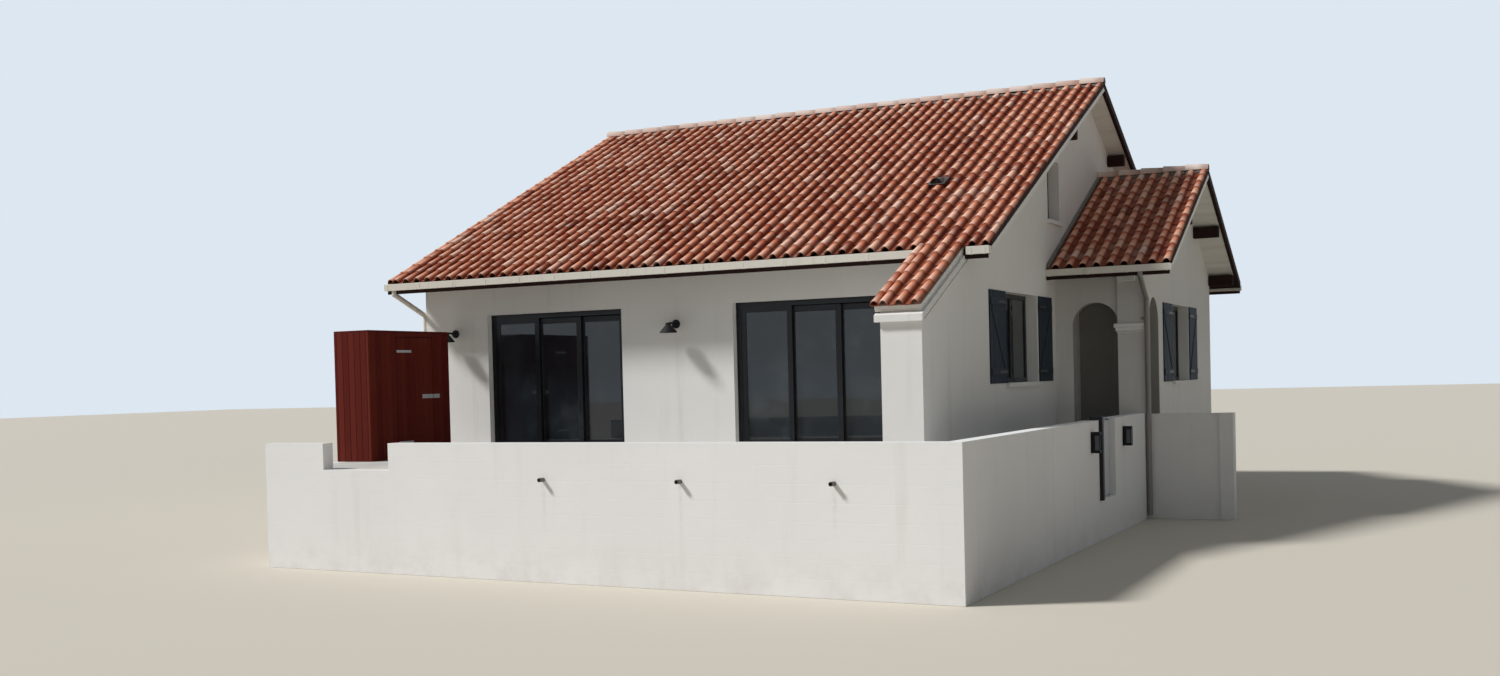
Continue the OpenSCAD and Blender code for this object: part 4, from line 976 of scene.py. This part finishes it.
gutter_paint, wash = metal_paint("gutter_paint", (0.72, 0.68, 0.60), 0.50)
gutter_paint.stain(wash * 0.35, (0.73, 0.69, 0.61), (0.42, 0.37, 0.30))
dress(gutter_paint, "main_gutters", "rear_gutter", "wing_gutters")
pipe_paint, dull = metal_paint("pipe_paint", (0.30, 0.28, 0.25), 0.45)
# Painted shade: the wing's downpipe is dark grey where its corner lies in shadow.
at_wing = pipe_paint.x.band(gate_wall_low.x - 0.6, gate_wall_low.x - 0.5)
worn = pipe_paint.mix(at_wing, (0.70, 0.66, 0.58), (0.25, 0.235, 0.22))
pipe_paint.stain(dull * 0.4, worn, (0.30, 0.27, 0.23))
dress(pipe_paint, "downpipes")
GUTTER_W, GUTTER_H, BEAD_R = 0.120, 0.100, 0.009
BRACKET_STEP, BRACKET_HALF, BRACKET_T, BRACKET_IN = 0.62, 0.012, 0.004, 0.06


def trim_gutter(build, x_low, x_high, y_front, z_rim, side):
    """A bead along the front rim, at y_front, and brackets under it. side is -1 at the front."""
    y, z = y_front - side * BEAD_R, z_rim - BEAD_R * 0.6
    build.rod([(x_low, y, z), (x_high, y, z)], BEAD_R, 8)
    count = max(1, round((x_high - x_low) / BRACKET_STEP))
    foot = z_rim - GUTTER_H
    for number in range(count + 1):
        x = x_low + BRACKET_IN + number * (x_high - x_low - 2 * BRACKET_IN) / count
        for start, end, top in ((-0.003, -GUTTER_W, foot), (-0.001, 0.003, z_rim - 0.012)):
            near, far = sorted((y_front + side * start, y_front + side * end))
            build.block((x - BRACKET_HALF, near, foot - BRACKET_T), (x + BRACKET_HALF, far, top),
                        0.001)


trims = Build()
(main_low, main_high), (rear_low, rear_high) = main_gutter, rear_gutter
wing_front, wing_rear = wing_gutter
for stretch in ((main_low.x, strip_left, main_low.y, main_high.z, -1),
                (gable_right + 0.06, main_high.x, main_low.y, main_high.z, -1),
                (rear_low.x, rear_high.x, rear_high.y - 0.003, rear_high.z, 1),
                (wing_front.x, wing_rear.x, wing_front.y, wing_rear.z, -1),
                (wing_front.x, wing_rear.x, wing_rear.y, wing_rear.z, 1)):
    trim_gutter(trims, *stretch)
trims.piece("gutter_trim", gutter_paint, slot="cream_gutter")

# %% [markdown]
# Door and window frames are powder coated aluminium, almost black. A powder coat isn't a mirror:
# it has a fine orange peel, and sea air leaves pale dust on it. The panes are clear over a dark
# room, so they read as dark glass with a sharp reflection.

# %% Black frames and glass
black_coat = Finish("black_coat", (0.008, 0.009, 0.011), roughness=0.38, Specular_IOR_Level=0.3)
dust = black_coat.noise(2.6, 5, 0.7).band(0.45, 0.8)
black_coat.stain(dust * 0.3, (0.007, 0.008, 0.010), (0.040, 0.040, 0.040), 0.30 + dust * 0.3)
black_coat.bump(black_coat.noise(260, 2), 0.12, 0.001)
LEAVES = [f"{side}_door_{place}_leaf" for side in ("left", "right") for place in ("middle", "end")]
PANES = [name.replace("_leaf", "_pane") for name in LEAVES]
dress(black_coat, "door_frames", "gable_window_frame", "loft_window_frame", "wing_window_frame",
      *LEAVES)

glass = Finish("window_glass", (0.035, 0.045, 0.052), roughness=0.03, IOR=1.65, Alpha=0.88)
film = glass.noise(1.7, 5, 0.7).band(0.42, 0.8)
glass.stain(film * 0.6, (0.014, 0.020, 0.025), (0.07, 0.085, 0.095), 0.02 + film * 0.10)
glass.bump(glass.noise(1.1, 2), 0.05, 0.004)
dress(glass, "fixed_panes", *PANES)

# %% [markdown]
# Each pane is held by a rubber gasket, and each end leaf has a flush pull outside, where it has to
# pass its neighbour, and a bar handle inside. They ride with their own leaf.

# %% Gaskets and handles of the terrace doors
rubber = Finish("gasket_rubber", (0.010, 0.010, 0.010), roughness=0.7)
rubber.set("Roughness", 0.55 + rubber.noise(40, 3) * 0.3)
rubber.bump(rubber.noise(180, 2), 0.2, 0.001)
steel = Finish("brushed_steel", (0.52, 0.52, 0.51), roughness=0.35, Metallic=1.0)
brushed = steel.noise(1.0, 3, 0.6, steel.stretched(300, 300, 12))
steel.set("Roughness", 0.25 + brushed * 0.25)
steel.bump(brushed, 0.1, 0.0005)
BEAD = 0.010
PULL_HALF, BAR_HALF, BAR_OUT, GRIP_UP = 0.11, 0.13, 0.045, 1.0


def ring(build, low, high, level):
    """Four bars round the inside of an opening. level is the axis along its sill, 0 or 1."""
    for axis, at_high in ((2, False), (2, True), (level, False), (level, True)):
        start, end = Vector(low), Vector(high)
        if axis == level:
            start.z, end.z = low[2] + BEAD, high[2] - BEAD
        if at_high:
            start[axis] = high[axis] - BEAD
        else:
            end[axis] = low[axis] + BEAD
        build.block(start, end, 0.002)


for leaf, pane in zip(LEAVES, PANES):
    body = leaf.replace("_leaf", "")
    low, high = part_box(pane)
    leaf_low, leaf_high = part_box(leaf)
    gasket = Build()
    for y_low, y_high in ((leaf_low.y + 0.003, low.y), (high.y, leaf_high.y - 0.003)):
        ring(gasket, (low.x, y_low, low.z), (high.x, y_high, high.z), 0)
    gasket.piece(f"{body}_gasket", rubber, body, slot="black_frame")
    if body.endswith("end"):
        grip = Build()
        x, y = (high.x + leaf_high.x) / 2, leaf_high.y
        middle = leaf_low.z + GRIP_UP
        grip.block((x - 0.018, leaf_low.y - 0.002, middle - PULL_HALF),
                   (x + 0.018, leaf_low.y, middle + PULL_HALF), 0.0008)
        grip.rod([(x, y, middle - BAR_HALF), (x, y + BAR_OUT, middle - BAR_HALF),
                  (x, y + BAR_OUT, middle + BAR_HALF), (x, y, middle + BAR_HALF)], 0.009, 12)
        grip.piece(f"{body}_handle", steel, body, slot="black_frame")

# %% [markdown]
# The windows get glazing beads round each pane, inside and outside, and a handle where the sashes
# meet. Their frames face X, so the rings are laid along Y.

# %% Beads and handles of the windows
SASH, BEAD_IN, BEAD_OUT = 0.060, 0.004, 0.017


def window_beads(build, name, posts):
    low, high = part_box(name)
    bay = (high.y - low.y - SASH) / (posts + 1)
    for number in range(posts + 1):
        y0, y1 = low.y + SASH + number * bay, low.y + (number + 1) * bay
        for x0, x1 in ((high.x - BEAD_OUT, high.x - BEAD_IN), (low.x + BEAD_IN, low.x + BEAD_OUT)):
            ring(build, (x0, y0, low.z + SASH), (x1, y1, high.z - SASH), 1)
    y = (low.y + high.y) / 2 if posts else low.y + SASH / 2
    z = (low.z + high.z) / 2
    build.block((low.x - 0.010, y - 0.014, z - 0.035), (low.x, y + 0.014, z + 0.035), 0.003)
    build.rod([(low.x - 0.005, y, z), (low.x - 0.035, y, z), (low.x - 0.035, y, z - 0.11)],
              0.007, 8)


beads = Build()
for name, posts in (("gable_window_frame", 1), ("loft_window_frame", 0), ("wing_window_frame", 1)):
    window_beads(beads, name, posts)
beads.piece("window_beads", black_coat, slot="black_frame")

# %% [markdown]
# The shutters stand open, folded back against the wall. Each leaf is six upright boards held by
# two battens and a brace, hung on two strap hinges.

# %% Shutters
shutter_paint = timber_finish("shutter_paint", (0.014, 0.021, 0.030), (0.020, 0.028, 0.038),
                              (0.040, 0.047, 0.055))
iron = Finish("black_iron", (0.018, 0.018, 0.019), roughness=0.6, Metallic=0.6)
rust = iron.noise(24, 5, 0.7).band(0.60, 0.8)
iron.stain(rust * 0.5, (0.017, 0.017, 0.018), (0.12, 0.05, 0.025), 0.5 + rust * 0.3)
iron.bump(iron.noise(120, 3), 0.3, 0.001)
SHUTTER_BOARDS, SHUTTER_W, SHUTTER_T, BATTEN_T = 6, 0.850, 0.032, 0.013
SHUTTER_GAP, HINGE_IN, STRAP_LENGTH, PIN_OUT = 0.05, 0.16, 0.42, 0.012
GROOVE_HALF, BATTEN_HALF, BRACE_HALF, STRAP_HALF, PIN_HALF = 0.0015, 0.05, 0.045, 0.018, 0.035


def shutter_leaf(boards, straps, x, y_low, y_high, z_low, z_high, hinge_at_low):
    """One leaf flat on a wall at x, with its battens towards the viewer."""
    step = (y_high - y_low) / SHUTTER_BOARDS
    board_x, batten_x, face_x = x + SHUTTER_T - BATTEN_T, x + SHUTTER_T - 0.003, x + SHUTTER_T
    for number in range(SHUTTER_BOARDS):
        near, far = y_low + number * step + GROOVE_HALF, y_low + (number + 1) * step - GROOVE_HALF
        boards.block((x + 0.002, near, z_low), (board_x, far, z_high), 0.004, rng.random())
    if hinge_at_low:
        near, far, pin = y_low, y_low + STRAP_LENGTH, y_low - PIN_OUT
    else:
        near, far, pin = y_high - STRAP_LENGTH, y_high, y_high + PIN_OUT
    for z in (z_low + HINGE_IN, z_high - HINGE_IN):
        boards.block((board_x, y_low + 0.03, z - BATTEN_HALF),
                     (batten_x, y_high - 0.03, z + BATTEN_HALF), 0.004, rng.random())
        straps.block((face_x - 0.004, near, z - STRAP_HALF), (face_x, far, z + STRAP_HALF), 0.0015)
        straps.rod([(x + 0.016, pin, z - PIN_HALF), (x + 0.016, pin, z + PIN_HALF)], 0.010, 10)
    rise = z_high - z_low - 2 * (HINGE_IN + BATTEN_HALF)
    run = y_high - y_low - 0.16
    slant = math.atan2(rise, run if hinge_at_low else -run)
    length = math.hypot(rise, run) - 0.06
    centre = Matrix.Translation(((board_x + batten_x) / 2, (y_low + y_high) / 2,
                                 (z_low + z_high) / 2)) @ Matrix.Rotation(slant, 4, "X")
    half = (batten_x - board_x) / 2
    boards.block((-half, -length / 2, -BRACE_HALF), (half, length / 2, BRACE_HALF), 0.004,
                 rng.random(), centre)


leaves, straps = Build(), Build()
for name, wall_x in (("gable_window_frame", gable_right),
                     ("wing_window_frame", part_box("shutters")[1].x - SHUTTER_T)):
    low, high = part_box(name)
    for y_low, at_low in ((low.y - SHUTTER_W - SHUTTER_GAP, False), (high.y + SHUTTER_GAP, True)):
        shutter_leaf(leaves, straps, wall_x, y_low, y_low + SHUTTER_W, low.z, high.z, at_low)
leaves.piece("shutter_leaves", shutter_paint, replaces=["shutters"], slot="blue_grey_shutter")
straps.piece("shutter_straps", iron, slot="black_lamp")

# %% [markdown]
# The store is a frame covered with upright boards, closed by a boarded lid. Its packed shell gives
# the outer size and the doorway. The boards are stamped one by one, so they have real gaps.

# %% Timber store
shell_low, shell_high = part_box("store_shell")
door_low, door_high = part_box("store_door")
BOARD_T, STORE_BOARD_W, LID_BOARD_W, POST = 0.030, 0.115, 0.15, 0.045
DOOR_GAP, SEAM_HALF = 0.008, 0.001
doorway_y = (door_low.y - DOOR_GAP, door_high.y + DOOR_GAP)
doorway_z = (door_low.z - DOOR_GAP, door_high.z + DOOR_GAP)


def boarded(build, along, across_low, across_high, start, end, z_low, z_high, width):
    """Upright boards that run along X or Y between start and end."""
    count = max(1, round((end - start) / width))
    step = (end - start) / count
    for number in range(count):
        a, b = start + number * step + SEAM_HALF, start + (number + 1) * step - SEAM_HALF
        low = (a, across_low, z_low) if along == "x" else (across_low, a, z_low)
        high = (b, across_high, z_high) if along == "x" else (across_high, b, z_high)
        build.block(low, high, 0.004, rng.random())


store = Build()
x0, x1, y0, y1 = shell_low.x, shell_high.x, shell_low.y, shell_high.y
z0, z1 = shell_low.z, shell_high.z
lid_z = z1 - BOARD_T
for along, inner, outer, start, end in (
        ("x", y0, y0 + BOARD_T, x0 + POST, x1 - POST),
        ("x", y1 - BOARD_T, y1, x0 + POST, x1 - POST),
        ("y", x0, x0 + BOARD_T, y0 + POST, y1 - POST),
        ("y", x1 - BOARD_T, x1, y0 + POST, doorway_y[0]),
        ("y", x1 - BOARD_T, x1, doorway_y[1], y1 - POST)):
    boarded(store, along, inner, outer, start, end, z0, lid_z, STORE_BOARD_W)
for foot, top in ((doorway_z[1], lid_z), (z0, doorway_z[0])):
    store.block((x1 - BOARD_T, doorway_y[0], foot), (x1, doorway_y[1], top), 0.004)
for x in (x0, x1 - POST):
    for y in (y0, y1 - POST):
        store.block((x, y, z0), (x + POST, y + POST, lid_z), 0.005, rng.random())
store.block((x0 + POST, y0 + POST, z0), (x1 - BOARD_T, y1 - POST, z0 + BOARD_T), 0.002)
boarded(store, "x", y0, y1, x0, x1, lid_z, z1, LID_BOARD_W)
store.piece("store_boards", maroon, replaces=["store_shell"], slot="maroon_timber")

# %% [markdown]
# The store's door turns with its body, so its boards, ledges, hasp plate and straps ride on it.
# The plate's other half, the keep, is screwed to the frame and stays.

# %% Store door
door, plate, keep = Build(), Build(), Build()
PLATE_T, IRON_T, LEDGE_T, LEDGE_IN = 0.020, 0.004, 0.022, 0.20
HASP_HALF, STAPLE_OUT = 0.03, 0.019
face = door_high.x - PLATE_T
ledge_zs = (door_low.z + LEDGE_IN, door_high.z - LEDGE_IN)
boarded(door, "y", face - BOARD_T, face, door_low.y, door_high.y, door_low.z, door_high.z,
        STORE_BOARD_W)
for z in ledge_zs:
    door.block((face - BOARD_T - LEDGE_T, door_low.y + 0.03, z - 0.045),
               (face - BOARD_T, door_high.y - 0.03, z + 0.045), 0.004)
door.piece("store_door_boards", maroon, "store_door_leaf", replaces=["store_door"],
           slot="maroon_timber")

zinc = Finish("galvanised_zinc", (0.52, 0.52, 0.54), roughness=0.55, Metallic=0.2)
spangle = zinc.noise(60, 3)
zinc.stain(spangle, (0.46, 0.46, 0.48), (0.58, 0.58, 0.60))
zinc.bump(spangle, 0.1, 0.0005)
middle, plate_y = (door_low.z + door_high.z) / 2, door_high.y + DOOR_GAP - 0.060
plate.block((face, plate_y - 0.22, middle - HASP_HALF),
            (face + IRON_T, plate_y + 0.05, middle + HASP_HALF), 0.001)
plate.rod([(face + out, plate_y + along, middle) for out, along in
           ((IRON_T, -0.10), (STAPLE_OUT, -0.10), (STAPLE_OUT, -0.02), (IRON_T, -0.02))],
          0.005, 10)
for z in ledge_zs:
    plate.block((face, door_low.y + 0.004, z - STRAP_HALF),
                (face + IRON_T, door_low.y + 0.36, z + STRAP_HALF), 0.001)
plate.piece("store_door_iron", zinc, "store_door_leaf", slot="maroon_timber")
keep.block((x1, doorway_y[1] + 0.004, middle - HASP_HALF),
           (x1 + IRON_T, doorway_y[1] + 0.16, middle + HASP_HALF), 0.001)
keep.piece("store_keep", zinc, slot="maroon_timber")

# %% [markdown]
# The garden gate is a flush leaf in a pale grey paint, darkened in its colour as painted shade for
# the gateway's shadow. On both faces shallow upright boards and a lever latch break it. The latch
# post and the pins are black.

# %% Garden gate
# The grey is darkened as painted shade for the shadow of the gateway.
gate_paint_and_shade = Finish("gate_paint_and_shade", (0.50, 0.51, 0.53), roughness=0.45)
scuff = gate_paint_and_shade.noise(3.0, 5, 0.7).band(0.5, 0.8)
gate_paint_and_shade.stain(scuff * 0.35, (0.51, 0.52, 0.54), (0.38, 0.37, 0.35), 0.38 + scuff * 0.3)
gate_paint_and_shade.bump(gate_paint_and_shade.noise(1.0, 4, 0.6, gate_paint_and_shade.stretched(90, 90, 3)), 0.12, 0.001)
dress(gate_paint_and_shade, "garden_gate")
dress(iron, "gate_ironwork")
gate_low, gate_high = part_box("garden_gate")
GATE_BOARD_T, GATE_BOARD_W, LATCH_UP = 0.004, 0.135, 0.62
rails, latch = Build(), Build()
z = gate_low.z + LATCH_UP
for side, x in ((1, gate_high.x), (-1, gate_low.x)):
    x_low, x_high = sorted((x, x + side * GATE_BOARD_T))
    boarded(rails, "y", x_low, x_high, gate_low.y + 0.012, gate_high.y - 0.045,
            gate_low.z + 0.02, gate_high.z - 0.02, GATE_BOARD_W)
    x_low, x_high = sorted((x + side * GATE_BOARD_T, x + side * 0.012))
    latch.block((x_low, gate_low.y + 0.03, z - 0.06), (x_high, gate_low.y + 0.06, z + 0.06), 0.002)
    latch.rod([(x + side * out, gate_low.y + along, z) for out, along in
               ((0.010, 0.045), (0.040, 0.045), (0.040, 0.155))], 0.007, 10)
rails.piece("gate_boards", gate_paint_and_shade, "gate", slot="white_render")
latch.piece("gate_latch", iron, "gate", slot="black_lamp")

# %% [markdown]
# The lamps on the house front are barn lamps: a round plate on the wall, an arm that swings up and
# over, and an open shade with a lamp glass in it. The shade is a profile spun round, with an
# inside as well as an outside. The gate wall carries two box lights: a plate, a head and a foot,
# four thin bars, and smoked glass between them. Their parts are given from the light's own corner.

# %% Wall lamps
lamp_coat = Finish("lamp_black", (0.012, 0.012, 0.013), roughness=0.65, Specular_IOR_Level=0.2)
lamp_coat.set("Roughness", 0.58 + lamp_coat.noise(18, 4) * 0.2)
lamp_coat.bump(lamp_coat.noise(200, 2), 0.15, 0.001)
bulb = Finish("lamp_glass", (0.80, 0.78, 0.72), roughness=0.25)
bulb.stain(bulb.noise(30, 3), (0.74, 0.72, 0.66), (0.84, 0.82, 0.77))
smoked = Finish("smoked_glass", (0.10, 0.115, 0.13), roughness=0.18)
smoked.stain(smoked.noise(12, 4), (0.075, 0.09, 0.105), (0.14, 0.155, 0.17))
front_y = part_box("front_wall_left")[0].y
LAMP_R, LAMP_Z, LAMP_IN = 0.130, 3.160, 0.600
middle_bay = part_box("front_wall_middle")
lamp_xs = ((middle_bay[0].x + middle_bay[1].x) / 2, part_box("front_wall_left")[1].x - LAMP_IN)
lamps, glow, panes = Build(), Build(), Build()
WALL_PLATE = [(0, 0.032), (0.044, 0.032), (0.062, 0.018), (0.065, 0.0), (0, 0)]
ARM = ((0.03, 0.0), (0.10, 0.004), (0.19, 0.012), (0.235, 0.008), (2 * LAMP_R, -0.012))
SHADE = [(0.022, 0.016), (0.036, 0.010), (0.042, -0.024), (0.056, -0.034), (0.122, -0.114),
         (0.130, -0.130), (0.123, -0.128), (0.116, -0.114), (0.050, -0.042), (0.0, -0.036)]
GLASS = [(0, -0.036), (0.024, -0.042), (0.036, -0.066), (0.028, -0.090), (0, -0.098)]
for x in lamp_xs:
    facing = Matrix.Translation((x, front_y, LAMP_Z)) @ Matrix.Rotation(math.radians(90), 4, "X")
    over = Matrix.Translation((x, front_y - 2 * LAMP_R, LAMP_Z))
    lamps.turned(WALL_PLATE, 24, facing)
    lamps.rod([(x, front_y - out, LAMP_Z + up) for out, up in ARM], 0.015, 12)
    lamps.turned(SHADE, 28, over)
    glow.turned(GLASS, 16, over)

BOX_W, BOX_H, BOX_LOW, BOX_FOOT, BOX_HEAD = 0.120, 0.280, 1.220, 0.035, 0.045
BOX_PLATE, BOX_BAR, BOX_BACK, GLASS_IN = 0.012, 0.010, 0.050, 0.012
BESIDE_GATE = 0.505
pane_top = BOX_H - BOX_HEAD
box_parts = [((0, 0, 0), (BOX_PLATE, BOX_W, BOX_H), 0.002),
             ((BOX_PLATE, 0, 0), (BOX_W, BOX_W, BOX_FOOT), 0.004),
             ((BOX_PLATE, 0, pane_top), (BOX_W, BOX_W, BOX_H), 0.004),
             ((BOX_PLATE, 0, BOX_FOOT), (BOX_BACK, BOX_W, pane_top), 0.001)]
for x in (BOX_PLATE, BOX_W - BOX_BAR):
    for y in (0, BOX_W - BOX_BAR):
        box_parts.append(((x, y, BOX_FOOT), (x + BOX_BAR, y + BOX_BAR, pane_top), 0.001))
for y in (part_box("wall_lights")[1].y, gate_low.y - BESIDE_GATE):
    corner = Matrix.Translation((gate_wall_high.x, y - BOX_W, BOX_LOW))
    for low, high, edge in box_parts:
        lamps.block(low, high, edge, matrix=corner)
    panes.block((BOX_BACK, GLASS_IN, BOX_FOOT), (BOX_W - GLASS_IN, BOX_W - GLASS_IN, pane_top),
                0.003, matrix=corner)
lamps.piece("lamp_bodies", lamp_coat, replaces=["wall_lights"], slot="black_lamp")
glow.piece("lamp_glasses", bulb, slot="black_lamp")
panes.piece("box_light_panes", smoked, slot="black_lamp")

# %% [markdown]
# The drain spouts are short pipes of brown plastic with a bore, square to the terrace wall. The
# sun has bleached them unevenly. The streak under each belongs to the wall's finish.

# %% Drain spouts
spout_plastic = Finish("spout_plastic", (0.150, 0.130, 0.118), roughness=0.55)
bleached = spout_plastic.noise(22, 4).band(0.35, 0.70)
spout_plastic.stain(bleached, (0.120, 0.100, 0.090), (0.190, 0.170, 0.155))
spout_plastic.bump(bleached, 0.1, 0.0005)
SPOUT_R, BORE_R, SPOUT_OUT = 0.025, 0.021, 0.090
WALL_BACK, WALL_RUN = 0.780, 9.630
wall_low, wall_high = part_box("terrace_front_wall")
skew = math.atan2(-WALL_BACK, WALL_RUN)
way = Matrix.Rotation(skew, 4, "Z") @ Matrix.Rotation(math.radians(90), 4, "X")
PIPE = [(BORE_R, 0.0), (SPOUT_R, 0.0), (SPOUT_R, SPOUT_OUT - 0.002), (SPOUT_R - 0.002, SPOUT_OUT),
        (BORE_R, SPOUT_OUT - 0.002), (BORE_R, 0.0)]
spouts = Build()
for x in SPOUT_XS:
    y = wall_low.y + (wall_high.x - x) * math.tan(-skew)
    spouts.turned(PIPE, 20, Matrix.Translation((x, y, SPOUT_Z)) @ way)
spouts.piece("spout_pipes", spout_plastic, replaces=["drain_spouts"], slot="black_lamp")

# %% [markdown]
# The entrance door inside the porch is a dark grey panel door. Only its edge shows in the
# photograph, so it is kept plain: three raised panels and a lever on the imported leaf.

# %% Entrance door
door_paint = Finish("entrance_paint", (0.055, 0.062, 0.070), roughness=0.45)
worn = door_paint.noise(3.0, 5, 0.7).band(0.5, 0.8)
door_paint.stain(worn * 0.3, (0.052, 0.060, 0.068), (0.11, 0.11, 0.11), 0.38 + worn * 0.2)
door_paint.bump(door_paint.noise(170, 2), 0.12, 0.001)
dress(door_paint, "entrance_door")
entry_low, entry_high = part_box("entrance_door")
PANEL_IN, PANEL_H, PANEL_STEP, PANEL_LOW, PANEL_T = 0.14, 0.52, 0.64, 0.16, 0.012
LEVER_UP, LEVER_OUT = 1.02, 0.05
panels, lever = Build(), Build()
for number in range(3):
    z = entry_low.z + PANEL_LOW + number * PANEL_STEP
    panels.block((entry_high.x, entry_low.y + PANEL_IN, z),
                 (entry_high.x + PANEL_T, entry_high.y - PANEL_IN, z + PANEL_H), 0.010)
panels.piece("entrance_panels", door_paint, slot="grey_door")
lever.rod([(entry_high.x + out, entry_high.y - along, entry_low.z + LEVER_UP) for out, along in
           ((0, 0.07), (LEVER_OUT, 0.07), (LEVER_OUT, 0.19))], 0.009, 10)
lever.piece("entrance_lever", steel, slot="grey_door")

# %% [markdown]
# Last, the object's box before and after the dressing is printed, with the count of triangles.

# %% Sizes
low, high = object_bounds()
sizes = {"cad": [list(cad_low), list(cad_high)], "visual": [list(low), list(high)]}
for key, corners in sizes.items():
    print(key, [[round(v, 4) for v in corner] for corner in corners])
total = sum(len(p.vertices) - 2 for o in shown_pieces() if o.type == "MESH" for p in o.data.polygons)
print("triangles in all", total)
